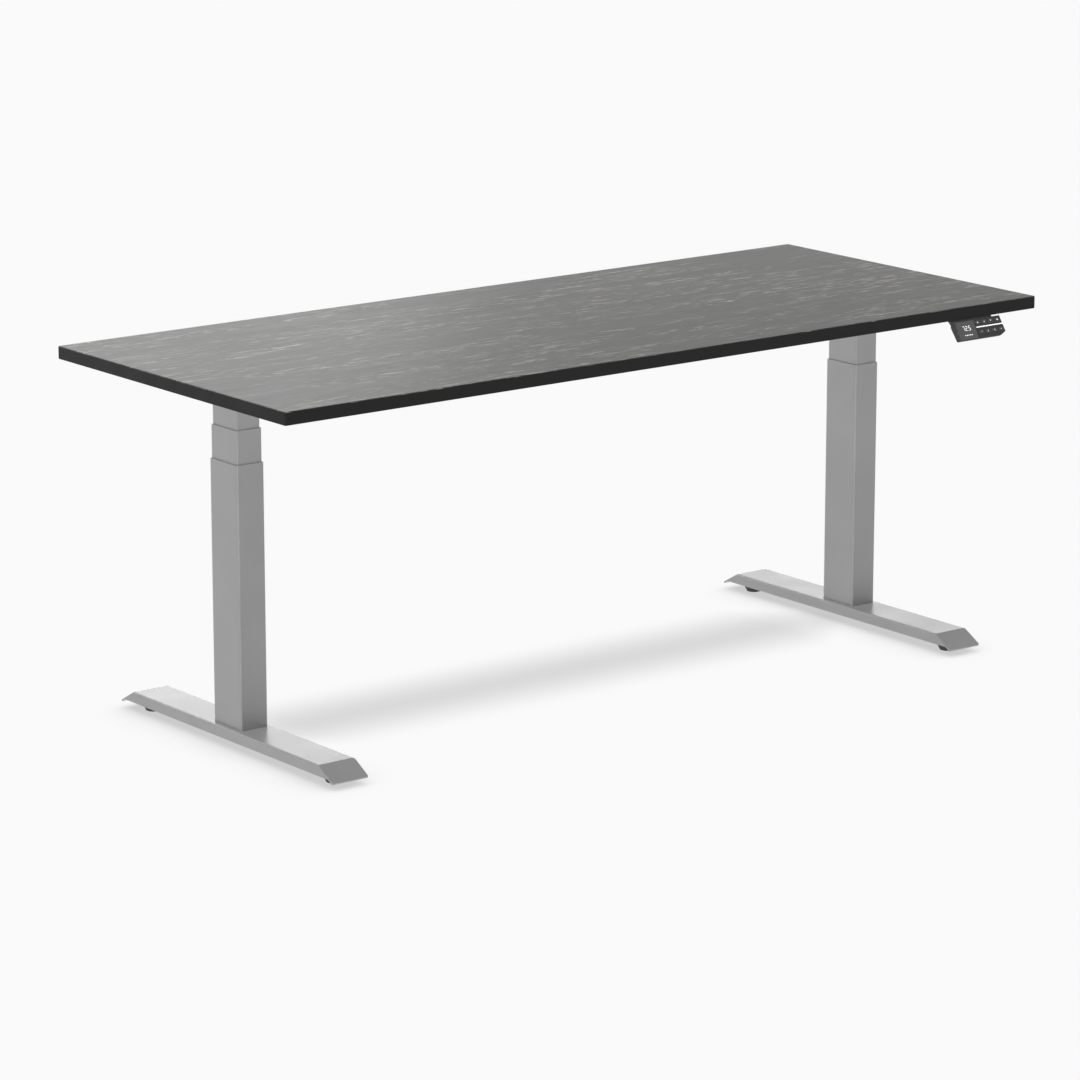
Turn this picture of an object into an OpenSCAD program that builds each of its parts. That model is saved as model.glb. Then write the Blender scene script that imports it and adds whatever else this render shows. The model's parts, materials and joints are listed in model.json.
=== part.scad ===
// Height adjustable standing desk: a two-leg, three-stage frame driven by a motor at
// the top of each column, with a solid desktop and a handset under its front edge.
// X runs along the desktop to the user's right, Y away from the user and Z up.
// The origin is on the floor, midway between the two columns.

/* [Desktop] */
// Length of the desktop from end to end
top_len = 1800; // [1400:10:2200]
// Depth of the desktop from front to back
top_depth = 750; // [640:10:900]
// Thickness of the desktop
top_thick = 25; // [18:1:40]
// Radius worked along every edge of the desktop
top_arris = 2; // [1:0.5:4]

/* [Columns] */
// Distance from the desktop's end to the column's centre
column_inset = 147.5; // [110:0.5:260]
// Width of the outer tube, along the desktop
outer_x = 60; // [50:1:76]
// Depth of the outer tube, front to back
outer_y = 90; // [75:1:110]
// Outside corner radius of the outer tube
outer_r = 4; // [3:0.5:8]
// Length of the outer tube
outer_len = 504; // [420:1:640]
// Wall of all three tubes
tube_wall = 1.4; // [1.1:0.1:1.8]
// Gap between one tube and the next
tube_gap = 1.1; // [0.9:0.1:1.4]
// Length of the middle tube that shows above the outer tube
middle_show = 64; // [60:1:200]
// Distance from the middle tube's top to the underside of the desktop
inner_show = 83; // [80:1:200]
// Thickness of the nylon liner between two tubes
liner_t = 0.9; // [0.7:0.1:1]
// Height of a liner
liner_h = 45; // [30:1:70]

/* [Feet] */
// Height of the foot's upper face above the floor
foot_h = 40; // [38:1:60]
// Width of a foot
foot_w = 80; // [78:1:120]
// Length of the foot's flat upper face
foot_flat = 615; // [500:5:760]
// Thickness of the foot's sheet
foot_sheet = 3; // [2:0.5:4]
// Depth of the foot's side flanges
flange_h = 21; // [18:1:24]
// Length of the sloping flap at each end, measured level
flap_run = 45; // [30:1:60]
// Fall of the sloping flap
flap_drop = 25.5; // [22:0.5:30]
// Distance from the foot's middle to a levelling glide
glide_y = 300; // [220:1:300]
// Diameter of a glide's pad
glide_d = 40; // [30:1:44]
// Diameter of a glide's threaded stem
stem_d = 8; // [6:1:12]

/* [Lifting gear] */
// Diameter of the fixed screw that stands on the base
fixed_d = 12; // [10:0.5:13]
// Outside diameter of the hollow spindle
spindle_d = 24; // [22:0.5:30]
// Diameter of the hollow spindle's bore
spindle_bore = 18; // [17:0.5:20]
// Outside diameter of the drive tube
drive_d = 16; // [15:0.5:16.5]
// Diameter of the drive tube's bore
drive_bore = 13; // [12.6:0.1:13.4]
// Wall of the gearbox beside its worm wheel
gearbox_wall = 2.6; // [2:0.1:4]
// Diameter of the worm
worm_d = 12; // [8:1:14]
// Diameter of the motor
motor_d = 42; // [36:1:44]
// Length of the motor
motor_len = 80; // [60:1:120]

/* [Top frame] */
// Room between the inner tube and the flanges of a side arm
arm_room = 7.5; // [5:0.5:12]
// Distance from the desktop's front and rear edges to the ends of a side arm
arm_setback = 85; // [75:5:120]
// Thickness of an arm's sheet
arm_sheet = 2.5; // [2:0.5:3]
// Depth of an arm at its middle
arm_deep = 30; // [28:1:36]
// Depth of an arm at its ends
arm_tip = 14; // [10:1:18]
// Distance of each rail from the middle line
rail_y = 110; // [100:5:200]
// Width of the centre rails
rail_w = 40; // [30:1:50]
// Height of the centre rails
rail_h = 24; // [20:1:26]
// Wall of the rails
rail_wall = 1.5; // [1.2:0.1:2]
// Length of the centre rails
rail_len = 1000; // [700:10:1100]
// Length of end rail that stays inside a centre rail
rail_overlap = 120; // [80:5:200]

/* [Control box and handset] */
// Length of the control box
box_len = 250; // [200:5:300]
// Depth of the control box, front to back
box_depth = 100; // [80:5:130]
// Height of the control box
box_h = 36; // [30:1:40]
// Distance from the desktop's right end to the handset's right end
handset_inset = 99; // [80:1:400]
// Length of the handset, along its top
handset_len = 119; // [110:1:150]
// Height of the handset's face, measured along its slope
handset_face = 40; // [38:1:50]
// Thickness of the handset near its top
handset_t = 16; // [14:0.5:20]
// Slope of the handset's face from the upright
handset_tilt = 28; // [10:1:30]
// Width of a key
key_w = 13; // [10:0.5:14]
// Height of a key
key_h = 9; // [7:0.5:10]

/* [Hidden] */
$fn = 48;
eps = 0.5;
fit = 0.05;
FRONT = -1;
REAR = 1;
LEFT = -1;
RIGHT = 1;

// Colours
frame_grey = [0.66, 0.66, 0.66];
screw_grey = [0.5, 0.51, 0.53];
charcoal = [0.19, 0.19, 0.19];
box_black = [0.09, 0.09, 0.09];
key_grey = [0.2, 0.2, 0.21];
nylon_white = [0.85, 0.85, 0.82];

// Heights above the floor
outer_top = foot_h + outer_len;
middle_top = outer_top + middle_show;
underside = middle_top + inner_show;
roof = underside - arm_sheet;
column_x = top_len / 2 - column_inset;
arm_len = top_depth - 2 * arm_setback;

// Tube sections, each one gap and one wall inside the last
step = 2 * (tube_wall + tube_gap);
middle_x = outer_x - step;
middle_y = outer_y - step;
middle_r = outer_r - tube_gap;
inner_x = middle_x - step;
inner_y = middle_y - step;
inner_r = middle_r - tube_gap;
arm_w = inner_x + 2 * (arm_room + arm_sheet);
middle_len = outer_len - 2;
middle_bottom = middle_top - middle_len;
inner_len = outer_len;
inner_bottom = roof - inner_len;

// Base plate inside the foot of the outer tube
plate_t = 8;
core_d = fixed_d - 2;
bolt_d = 8;
bolt_x = outer_x - 28;
bolt_y = outer_y - 30;
bolt_head_h = 6;
foot_hole_d = bolt_d + 0.4;

// Screws and spindles
screw_below_top = 114;
carrier_h = 20;
collar_gap = 0.3;
collar_h = 5;
collar_d = spindle_d + 10;
lower_thread = 44;
spindle_below_top = 18;
nut_h = 25;
drive_above_nut = 105;
slider_h = 15;

// Worm gearing in the top of the inner tube
gearbox_h = 33;
wheel_clear = 1;
wheel_d = inner_x - 2 * (tube_wall + gearbox_wall + wheel_clear);
gearbox_bottom = roof - gearbox_h;
wheel_h = 10;
wheel_z = gearbox_bottom + 11.5;
worm_y = (wheel_d + worm_d) / 2;
worm_len = 36;
shaft_d = 8;
journal_d = 12;
motor_plate = 4;
motor_plate_y = motor_d + 14;
motor_bolt_y = motor_d / 2 + 3;
motor_bolt_d = 4;
shaft_hole_d = worm_d + 1;
motor_face = column_x - arm_w / 2;
motor_back = motor_face - motor_plate - motor_len;

// Rails, each end rail sliding inside a centre rail
rail_top = underside - 5.5;
rail_z = rail_top - rail_h / 2;
rail_gap = 0.2;
end_plate_t = 3;
end_plate_w = rail_w + 22;
end_bolt_y = rail_w / 2 + 6;
rail_bolt_d = 6;
rail_hole_d = rail_bolt_d + 0.4;
end_rail_in = rail_len / 2 - rail_overlap;
set_screw_x = rail_len / 2 - 20;
set_screw_d = 5;

// Screws into the desktop
wood_screw_d = 5;
wood_screw_bite = 16;
arm_screw_end = 20.3;
arm_screw_gap = 89.9;
arm_screw_y = arm_len / 2 - arm_screw_end;
arm_screw_ys = [-arm_screw_y, arm_screw_gap - arm_screw_y, arm_screw_y - arm_screw_gap, arm_screw_y];
ear_screw_y = box_depth / 2 - 12;

// Control box
box_wall = 2;
lid_h = 6;
ear = 14;
socket_t = 6;
box_bottom = underside - box_h;
box_socket_z = box_bottom + 15;
front_socket_x = 60;
inlet_x = -60;
inlet_w = 30;
inlet_h = 22;
inlet_t = 12;

// Handset, in its own tilted frame: x from its left end, y into it, z up its face
handset_x = top_len / 2 - handset_inset - handset_len;
handset_y = -top_depth / 2 - 1.5;
handset_z = underside - 2;
handset_top_fall = 5.4;
handset_taper = 6.5;
left_lean = 1.3;
right_lean = 4.7;
window_w = 47.5;
window_t = 1.2;
rim = 1.5;
key_t = 2;
key_gap = 0.15;
key_pocket = 3;
key_pitch = 17.4;
key_first = [58.6, 61.8];
key_rows = [-7.7, -27.1];
bracket_t = 2.5;
bracket_start = 0.5;
bracket_w = handset_len - 19.5;
bracket_front = 3;
bracket_back = 40;
lead_exit_x = 17;
lead_exit_z = -20;
lead_exit_y = handset_t
    - handset_taper * (lead_exit_z + handset_top_fall) / (handset_top_fall - handset_face);

// Leads
motor_lead_d = 5;
motor_lead_z = underside - 4;
handset_lead_d = 3.6;
handset_lead_z = underside - 3;
handset_lead_x = handset_x + lead_exit_x;
handset_run_y = 60 - arm_len / 2;
lead_sides = 8;
lead_steps = 4;

// ---- Shapes that repeat ----

// A rectangle with round corners
module round_rect(x, y, r) {
    square([x - 2 * r, y], center = true);
    square([x, y - 2 * r], center = true);
    for (i = [-1, 1], j = [-1, 1])
        translate([i * (x / 2 - r), j * (y / 2 - r)]) circle(r);
}

// A rectangular tube standing on z = 0
module box_tube(x, y, r, wall, h) {
    linear_extrude(h) difference() {
        round_rect(x, y, r);
        round_rect(x - 2 * wall, y - 2 * wall, r - wall);
    }
}

// A cylinder lying along X from the origin
module x_rod(d, h) {
    rotate([0, 90, 0]) cylinder(d = d, h = h);
}

// The X axis pointing away from the desk's middle, placed at one column
module at_column(side) {
    translate([side * column_x, 0, 0]) mirror([side < 0 ? 1 : 0, 0, 0]) children();
}

// A bolt standing on z = 0, with its head below
module bolt(d, shank, head_d, head_h) {
    cylinder(d = d, h = shank);
    translate([0, 0, -head_h]) cylinder(d = head_d, h = head_h);
}

// ---- A lead swept along a smooth route ----

function unit(v) = v / norm(v);

// The route's heading at point i, midway between the headings of the stretches that meet there
function heading_at(p, i) =
    i == 0 ? unit(p[1] - p[0]) :
    i == len(p) - 1 ? unit(p[i] - p[i - 1]) :
    unit(unit(p[i] - p[i - 1]) + unit(p[i + 1] - p[i]));

// A point on the curve from p[i] at t = 0 to p[i + 1] at t = 1
function curve_point(p, i, t) =
    let (b = p[i], c = p[i + 1], reach = norm(c - b))
    (2 * t * t * t - 3 * t * t + 1) * b + (t * t * t - 2 * t * t + t) * reach * heading_at(p, i)
    + (3 * t * t - 2 * t * t * t) * c + (t * t * t - t * t) * reach * heading_at(p, i + 1);

// A stretch whose two ends head straight along it needs no points between them
function is_straight(p, i) =
    let (along = unit(p[i + 1] - p[i]))
    heading_at(p, i) * along > 0.99999 && heading_at(p, i + 1) * along > 0.99999;

function smooth_route(p) =
    let (n = len(p))
    [for (i = [0 : n - 2]) let (steps = is_straight(p, i) ? 1 : lead_steps)
        for (k = [0 : steps - 1]) curve_point(p, i, k / steps),
     p[n - 1]];

function headings(p) =
    let (n = len(p))
    [for (i = [0 : n - 1]) unit(p[min(i + 1, n - 1)] - p[max(i - 1, 0)])];

// Each ring's sideways direction, carried along the route without twist
function carried(t, v, i) =
    i == len(t) ? [] :
    let (w = unit(v - (v * t[i]) * t[i]))
    concat([w], carried(t, w, i + 1));

module lead(points, d, sideways) {
    p = smooth_route(points);
    t = headings(p);
    u = carried(t, sideways, 0);
    n = len(p);
    m = lead_sides;
    ring = [for (i = [0 : n - 1], k = [0 : m - 1])
        let (turn = 360 * (k + 0.3) / m)
            p[i] + d / 2 * (cos(turn) * u[i] + sin(turn) * cross(t[i], u[i]))];
    walls = [for (i = [0 : n - 2], k = [0 : m - 1])
        [i * m + k, (i + 1) * m + k, (i + 1) * m + (k + 1) % m, i * m + (k + 1) % m]];
    first = [for (k = [0 : m - 1]) k];
    last = [for (k = [m - 1 : -1 : 0]) (n - 1) * m + k];
    polyhedron(ring, concat([first], walls, [last]), convexity = 4);
}

// ---- Base ----

// A channel of bent sheet, open below, with a sloping flap at each end
module foot(side) {
    flap_slope = atan(flap_drop / flap_run);
    tip_y = foot_flat / 2 + flap_run;
    tip_z = foot_h - flap_drop;
    edge = foot_sheet * [sin(flap_slope), cos(flap_slope)];
    flange_z = foot_h - flange_h;
    color(frame_grey) translate([side * column_x, 0, 0]) difference() {
        intersection() {
            translate([0, tip_y, 0]) rotate([90, 0, 0]) linear_extrude(2 * tip_y) foot_end_view();
            linear_extrude(foot_h) round_rect(foot_w, 2 * tip_y, 4);
            foot_profile(foot_w) polygon([
                [-foot_flat / 2, foot_h], [foot_flat / 2, foot_h], [tip_y, tip_z],
                [tip_y, tip_z] - edge, [edge[0] - tip_y, tip_z - edge[1]], [-tip_y, tip_z]]);
        }
        foot_profile(foot_w - 2 * foot_sheet) under_sheet(foot_h - foot_sheet);
        foot_profile(foot_w + 2 * eps) under_sheet(flange_z);
        for (i = [-1, 1], j = [-1, 1])
            translate([i * bolt_x / 2, j * bolt_y / 2, foot_h - foot_sheet - eps])
                cylinder(d = foot_hole_d, h = foot_sheet + 2 * eps);
    }
}

// A shape drawn in the foot's side view, made w wide
module foot_profile(w) {
    translate([-w / 2, 0, 0]) rotate([90, 0, 90]) linear_extrude(w) children();
}

// The foot's end view, with its bends rounded
module foot_end_view() {
    bend = foot_sheet + 0.5;
    translate([-foot_w / 2, 0]) square([foot_w, foot_h - bend]);
    translate([bend - foot_w / 2, 0]) square([foot_w - 2 * bend, foot_h]);
    for (i = [-1, 1]) translate([i * (foot_w / 2 - bend), foot_h - bend]) circle(bend);
}

// Everything between the flaps' inner faces, from the height z down
module under_sheet(z) {
    polygon([[-under_flap(z), z], [under_flap(z), z], [under_flap(-eps), -eps], [-under_flap(-eps), -eps]]);
}

// How far out the flap's inner face is at the height z
function under_flap(z) =
    foot_flat / 2 + (foot_h - z) * flap_run / flap_drop
    - foot_sheet * norm([flap_run, flap_drop]) / flap_drop;

// The outer tube, with its base plate welded in
module outer_tube(side) {
    color(frame_grey) translate([side * column_x, 0, foot_h]) {
        box_tube(outer_x, outer_y, outer_r, tube_wall, outer_len);
        difference() {
            linear_extrude(plate_t)
                round_rect(outer_x - tube_wall, outer_y - tube_wall, outer_r - tube_wall / 2);
            for (i = [-1, 1], j = [-1, 1])
                translate([i * bolt_x / 2, j * bolt_y / 2, -eps])
                    cylinder(d = bolt_d + 2 * fit, h = plate_t + 2 * eps);
            translate([0, 0, -eps]) cylinder(d = core_d + 2 * fit, h = plate_t + 2 * eps);
        }
    }
}

module fixed_screw(side) {
    color(screw_grey) translate([side * column_x, 0, foot_h]) {
        cylinder(d = core_d, h = plate_t + eps);
        translate([0, 0, plate_t]) cylinder(d = fixed_d, h = outer_len - screw_below_top - plate_t);
    }
}

module liner(side, x, y, r, top) {
    color(nylon_white) translate([side * column_x, 0, top - liner_h - eps])
        box_tube(x - 2 * tube_wall, y - 2 * tube_wall, r - tube_wall, liner_t, liner_h);
}

module foot_bolts() {
    color(screw_grey) for (side = [LEFT, RIGHT], i = [-1, 1], j = [-1, 1])
        translate([side * column_x + i * bolt_x / 2, j * bolt_y / 2, foot_h - foot_sheet])
            bolt(bolt_d, foot_sheet + plate_t - 1, bolt_d * 1.6, bolt_head_h);
}

module glide_nuts() {
    nut_len = 14;
    color(screw_grey) for (side = [LEFT, RIGHT], end = [FRONT, REAR])
        translate([side * column_x, end * glide_y, foot_h - foot_sheet - nut_len]) difference() {
            cylinder(d = stem_d * 1.9, h = nut_len, $fn = 6);
            translate([0, 0, -eps]) cylinder(d = stem_d + 2 * fit, h = nut_len + 2 * eps);
        }
}

// A levelling glide: a tapered pad on a threaded stem
module glide(side, end) {
    pad_h = 14;
    color(box_black) translate([side * column_x, end * glide_y, 0]) rotate_extrude() polygon([
        [0, 0], [glide_d / 2 - 4, 0], [glide_d / 2 - 3, 1], [glide_d / 2, 9],
        [glide_d / 2, pad_h - 2], [glide_d / 2 - 2, pad_h], [stem_d / 2, pad_h],
        [stem_d / 2, foot_h - foot_sheet - 1], [0, foot_h - foot_sheet - 1]]);
}

// ---- Middle stage ----

module middle_tube(side) {
    color(frame_grey) translate([side * column_x, 0, middle_bottom])
        box_tube(middle_x, middle_y, middle_r, tube_wall, middle_len);
}

// A plug that fills a tube's end, bored for the spindle
module bored_plug(side, x, y, r, bottom, h) {
    color(nylon_white) translate([side * column_x, 0, bottom]) difference() {
        linear_extrude(h) round_rect(x - 2 * tube_wall, y - 2 * tube_wall, r - tube_wall);
        translate([0, 0, -eps]) cylinder(d = spindle_d + 2 * fit, h = h + 2 * eps);
    }
}

module spindle_carrier(side) {
    bored_plug(side, middle_x, middle_y, middle_r, middle_bottom, carrier_h);
}

// The hollow spindle: its bottom runs on the fixed screw and its outside in the nut
module spindle(side) {
    h = middle_len - spindle_below_top;
    collar_z = carrier_h + collar_gap;
    color(screw_grey) translate([side * column_x, 0, middle_bottom]) rotate_extrude() polygon([
        [fixed_d / 2 + fit, 0], [spindle_d / 2, 0],
        [spindle_d / 2, collar_z], [collar_d / 2, collar_z],
        [collar_d / 2, collar_z + collar_h], [spindle_d / 2, collar_z + collar_h],
        [spindle_d / 2, h], [spindle_bore / 2, h],
        [spindle_bore / 2, lower_thread], [fixed_d / 2 + fit, lower_thread]]);
}

// ---- Top stage ----

// The inner tube, with a hole for the motor's shaft
module inner_tube(side) {
    color(frame_grey) at_column(side) difference() {
        translate([0, 0, inner_bottom]) box_tube(inner_x, inner_y, inner_r, tube_wall, inner_len);
        translate([-inner_x / 2 - eps, worm_y, wheel_z])
            x_rod(shaft_hole_d, tube_wall + inner_r + 2 * eps);
    }
}

// The drive tube, with its worm wheel pressed on near the top
module drive_tube(side) {
    bottom = inner_bottom + drive_above_nut;
    slider = spindle_bore / 2 - fit;
    solid_from = gearbox_bottom - 6;
    color(screw_grey) translate([side * column_x, 0, 0]) rotate_extrude() polygon([
        [drive_bore / 2, bottom], [slider, bottom], [slider, bottom + slider_h],
        [drive_d / 2, bottom + slider_h], [drive_d / 2, wheel_z - wheel_h / 2],
        [wheel_d / 2, wheel_z - wheel_h / 2], [wheel_d / 2, wheel_z + wheel_h / 2],
        [journal_d / 2, wheel_z + wheel_h / 2], [journal_d / 2, roof - 4], [0, roof - 4],
        [0, solid_from], [drive_bore / 2, solid_from]]);
}

// The worm gear's housing fills the top of the inner tube
module gearbox(side) {
    color(screw_grey) at_column(side) difference() {
        translate([0, 0, gearbox_bottom]) linear_extrude(gearbox_h)
            round_rect(inner_x - 2 * tube_wall, inner_y - 2 * tube_wall, inner_r - tube_wall);
        translate([0, 0, gearbox_bottom - eps])
            cylinder(d = drive_d + 2 * fit, h = wheel_z - gearbox_bottom);
        translate([0, 0, wheel_z - wheel_h / 2 - wheel_clear])
            cylinder(d = wheel_d + 2 * wheel_clear, h = wheel_h + 2 * wheel_clear);
        translate([0, 0, wheel_z]) cylinder(d = journal_d + 2 * fit, h = roof - 3 - wheel_z);
        translate([-inner_x / 2, worm_y, wheel_z])
            x_rod(shaft_hole_d, inner_x / 2 + worm_len / 2 + wheel_clear);
    }
}

// A sealed motor on the arm's inner side, with its shaft and worm
module motor(side) {
    cap = 12;
    thread_clear = 0.3;
    color(box_black) at_column(side) translate([-arm_w / 2, worm_y, wheel_z]) {
        difference() {
            translate([-motor_plate, -motor_plate_y / 2, -motor_d / 2 + 1])
                cube([motor_plate, motor_plate_y, motor_d - 2]);
            for (i = [-1, 1]) translate([-motor_plate - eps, i * motor_bolt_y, 0])
                x_rod(motor_bolt_d + 2 * fit, motor_plate + 2 * eps);
        }
        translate([-motor_plate - motor_len + cap, 0, 0]) x_rod(motor_d, motor_len - cap);
        translate([-motor_plate - motor_len, 0, 0]) x_rod(motor_d - 6, cap);
        x_rod(shaft_d, arm_w / 2);
        translate([arm_w / 2 - worm_len / 2, 0, 0]) x_rod(worm_d - 2 * thread_clear, worm_len);
    }
}

module spindle_nut(side) {
    bored_plug(side, inner_x, inner_y, inner_r, inner_bottom, nut_h);
}

// A side arm: a channel under the desktop, open below and tapered to its ends
module arm(side) {
    waist = arm_len / 5;
    color(frame_grey) at_column(side) difference() {
        intersection() {
            translate([0, arm_len / 2, underside - arm_deep]) rotate([90, 0, 0])
                linear_extrude(arm_len) arm_section();
            translate([-arm_w / 2, 0, underside]) rotate([90, 0, 90])
                linear_extrude(arm_w) polygon([
                    [-arm_len / 2, 0], [arm_len / 2, 0], [arm_len / 2, -arm_tip],
                    [waist, -arm_deep], [-waist, -arm_deep], [-arm_len / 2, -arm_tip]]);
        }
        for (y = arm_screw_ys)
            translate([0, y, roof - eps]) cylinder(d = wood_screw_d + 1, h = arm_sheet + 2 * eps);
        translate([-arm_w / 2 - eps, worm_y, wheel_z]) {
            x_rod(shaft_hole_d, arm_sheet + 2 * eps);
            for (i = [-1, 1]) translate([0, i * motor_bolt_y, 0])
                x_rod(motor_bolt_d + 2 * fit, arm_sheet + 2 * eps);
        }
        for (j = [-1, 1], i = [-1, 1])
            translate([-arm_w / 2 - eps, j * rail_y + i * end_bolt_y, rail_z])
                x_rod(rail_hole_d, arm_sheet + 2 * eps);
    }
}

// The arm's cross section, standing on y = 0
module arm_section() {
    difference() {
        translate([-arm_w / 2, 0]) square([arm_w, arm_deep]);
        translate([arm_sheet - arm_w / 2, -eps])
            square([arm_w - 2 * arm_sheet, arm_deep - arm_sheet + eps]);
    }
}

// An end rail: a tube that slides in the centre rail, with a plate bolted to the arm
module end_rail(side, end) {
    w = rail_w - 2 * (rail_wall + rail_gap);
    h = rail_h - 2 * (rail_wall + rail_gap);
    length = motor_face - end_plate_t - end_rail_in;
    color(frame_grey) at_column(side) translate([-arm_w / 2, end * rail_y, rail_z]) {
        difference() {
            translate([-end_plate_t - length, 0, 0]) rotate([90, 0, 90]) linear_extrude(length)
                difference() {
                    square([w, h], center = true);
                    square([w - 2 * rail_wall, h - 2 * rail_wall], center = true);
                }
            translate([set_screw_x - motor_face, 0, -h / 2 - eps])
                cylinder(d = set_screw_d + 2 * fit, h = rail_wall + 2 * eps);
        }
        difference() {
            translate([-end_plate_t, -end_plate_w / 2, -rail_h / 2])
                cube([end_plate_t, end_plate_w, rail_h]);
            for (i = [-1, 1]) translate([-end_plate_t - eps, i * end_bolt_y, 0])
                x_rod(rail_hole_d, end_plate_t + 2 * eps);
        }
    }
}

module centre_rail(end) {
    color(frame_grey) translate([0, end * rail_y, rail_z]) difference() {
        translate([-rail_len / 2, 0, 0]) rotate([90, 0, 90]) linear_extrude(rail_len)
            difference() {
                square([rail_w, rail_h], center = true);
                square([rail_w - 2 * rail_wall, rail_h - 2 * rail_wall], center = true);
            }
        for (side = [LEFT, RIGHT]) translate([side * set_screw_x, 0, -rail_h / 2 - eps])
            cylinder(d = set_screw_d + 2 * fit, h = rail_wall + 2 * eps);
    }
}

// Bolts of the rails' end plates, the motors' plates and the rails' set screws
module frame_bolts() {
    grip = arm_sheet + end_plate_t;
    nut_t = 5;
    color(screw_grey) for (side = [LEFT, RIGHT]) at_column(side) {
        for (j = [-1, 1], i = [-1, 1])
            translate([arm_sheet - arm_w / 2, j * rail_y + i * end_bolt_y, rail_z])
                rotate([0, -90, 0]) {
                    bolt(rail_bolt_d, grip + nut_t + 2, rail_bolt_d * 1.6, 4);
                    translate([0, 0, grip]) cylinder(d = rail_bolt_d * 1.8, h = nut_t, $fn = 6);
                }
        for (i = [-1, 1])
            translate([arm_sheet - arm_w / 2, worm_y + i * motor_bolt_y, wheel_z])
                rotate([0, -90, 0]) bolt(motor_bolt_d, arm_sheet + motor_plate, 7, 3);
        for (j = [-1, 1])
            translate([set_screw_x - column_x, j * rail_y, rail_z - rail_h / 2])
                bolt(set_screw_d, 2 * rail_wall + rail_gap, 9, 3);
    }
}

// Where a wood screw enters the desktop, and how far below the underside its head sits
module screw_places() {
    for (side = [LEFT, RIGHT], y = arm_screw_ys)
        translate([side * column_x, y, -arm_sheet]) children();
    for (i = [-1, 1], j = [-1, 1])
        translate([i * (box_len + ear) / 2, j * ear_screw_y, -bracket_t]) children();
    for (i = [-1, 1])
        translate([handset_x + bracket_start + bracket_w / 2 + i * bracket_w / 3,
            handset_y + bracket_back - 8, -bracket_t]) children();
}

module desktop_screws() {
    color(screw_grey) translate([0, 0, underside]) screw_places()
        bolt(wood_screw_d, wood_screw_bite + arm_sheet, wood_screw_d * 2, 2.5);
}

// A solid board with a small radius along every edge
module desktop() {
    l = top_len / 2 - top_arris;
    d = top_depth / 2 - top_arris;
    h = top_thick / 2 - top_arris;
    color(charcoal) difference() {
        translate([0, 0, underside + top_thick / 2]) {
            cube([2 * l, 2 * d, top_thick], center = true);
            cube([2 * l, top_depth, 2 * h], center = true);
            cube([top_len, 2 * d, 2 * h], center = true);
            for (j = [-1, 1], k = [-1, 1])
                translate([-l, j * d, k * h]) x_rod(2 * top_arris, 2 * l);
            for (i = [-1, 1], k = [-1, 1])
                translate([i * l, d, k * h]) rotate([90, 0, 0]) cylinder(r = top_arris, h = 2 * d);
            for (i = [-1, 1], j = [-1, 1]) {
                translate([i * l, j * d, -h]) cylinder(r = top_arris, h = 2 * h);
                for (k = [-1, 1]) translate([i * l, j * d, k * h]) sphere(r = top_arris);
            }
        }
        translate([0, 0, underside]) screw_places() translate([0, 0, -eps])
            cylinder(d = wood_screw_d + 2 * fit, h = wood_screw_bite + arm_sheet + 2 * eps);
    }
}

// ---- Control box ----

module control_box_base() {
    color(box_black) {
        difference() {
            translate([-box_len / 2, -box_depth / 2, box_bottom])
                cube([box_len, box_depth, box_h - lid_h]);
            translate([box_wall - box_len / 2, box_wall - box_depth / 2, box_bottom + box_wall])
                cube([box_len - 2 * box_wall, box_depth - 2 * box_wall, box_h]);
        }
        for (side = [LEFT, RIGHT])
            translate([side * (box_len + socket_t) / 2, worm_y, box_socket_z])
                cube([socket_t, 16, 12], center = true);
        translate([front_socket_x, -(box_depth + socket_t) / 2, box_socket_z])
            cube([14, socket_t, 10], center = true);
    }
}

// The lid closes the box against the desktop and carries the screw ears
module control_box_lid() {
    color(box_black) {
        translate([-box_len / 2, -box_depth / 2, underside - lid_h])
            cube([box_len, box_depth, lid_h]);
        difference() {
            for (i = [-1, 1], j = [-1, 1])
                translate([i * (box_len + ear) / 2, j * ear_screw_y, underside - bracket_t / 2])
                    cube([ear, 18, bracket_t], center = true);
            translate([0, 0, underside]) screw_places() translate([0, 0, -eps])
                cylinder(d = wood_screw_d + 2 * fit, h = bracket_t + 2 * eps);
        }
    }
}

// The socket that the mains lead plugs into, with its two pins
module mains_inlet() {
    recess = 9;
    color(box_black) translate([inlet_x, box_depth / 2, box_bottom + 16]) {
        difference() {
            translate([-inlet_w / 2, 0, -inlet_h / 2]) cube([inlet_w, inlet_t, inlet_h]);
            translate([4 - inlet_w / 2, inlet_t - recess, 4 - inlet_h / 2])
                cube([inlet_w - 8, recess + eps, inlet_h - 8]);
        }
        for (i = [-1, 1]) translate([i * 5, inlet_t - recess - eps, 0]) rotate([-90, 0, 0])
            cylinder(d = 2.4, h = recess);
    }
}

// ---- Leads ----

module motor_lead(side) {
    sag = motor_lead_z - wheel_z;
    box_end = box_len / 2 + socket_t;
    drop = motor_lead_z - box_socket_z;
    route = [
        [motor_back, 0, -sag], [motor_back - 8, 0, -sag], [motor_back - 18, 0, -0.9 * sag],
        [motor_back - 30, 0, -0.5 * sag], [motor_back - 42, 0, -0.1 * sag],
        [motor_back - 54, 0, 0], [motor_back - 80, 0, 0],
        [box_end + 80, 0, 0], [box_end + 54, 0, 0], [box_end + 42, 0, -0.1 * drop],
        [box_end + 30, 0, -0.5 * drop], [box_end + 18, 0, -0.9 * drop],
        [box_end + 8, 0, -drop], [box_end, 0, -drop]];
    color(box_black) translate([0, worm_y, motor_lead_z])
        lead([for (p = route) [side * p[0], p[1], p[2]]], motor_lead_d, [0, 1, 0]);
}

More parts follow.
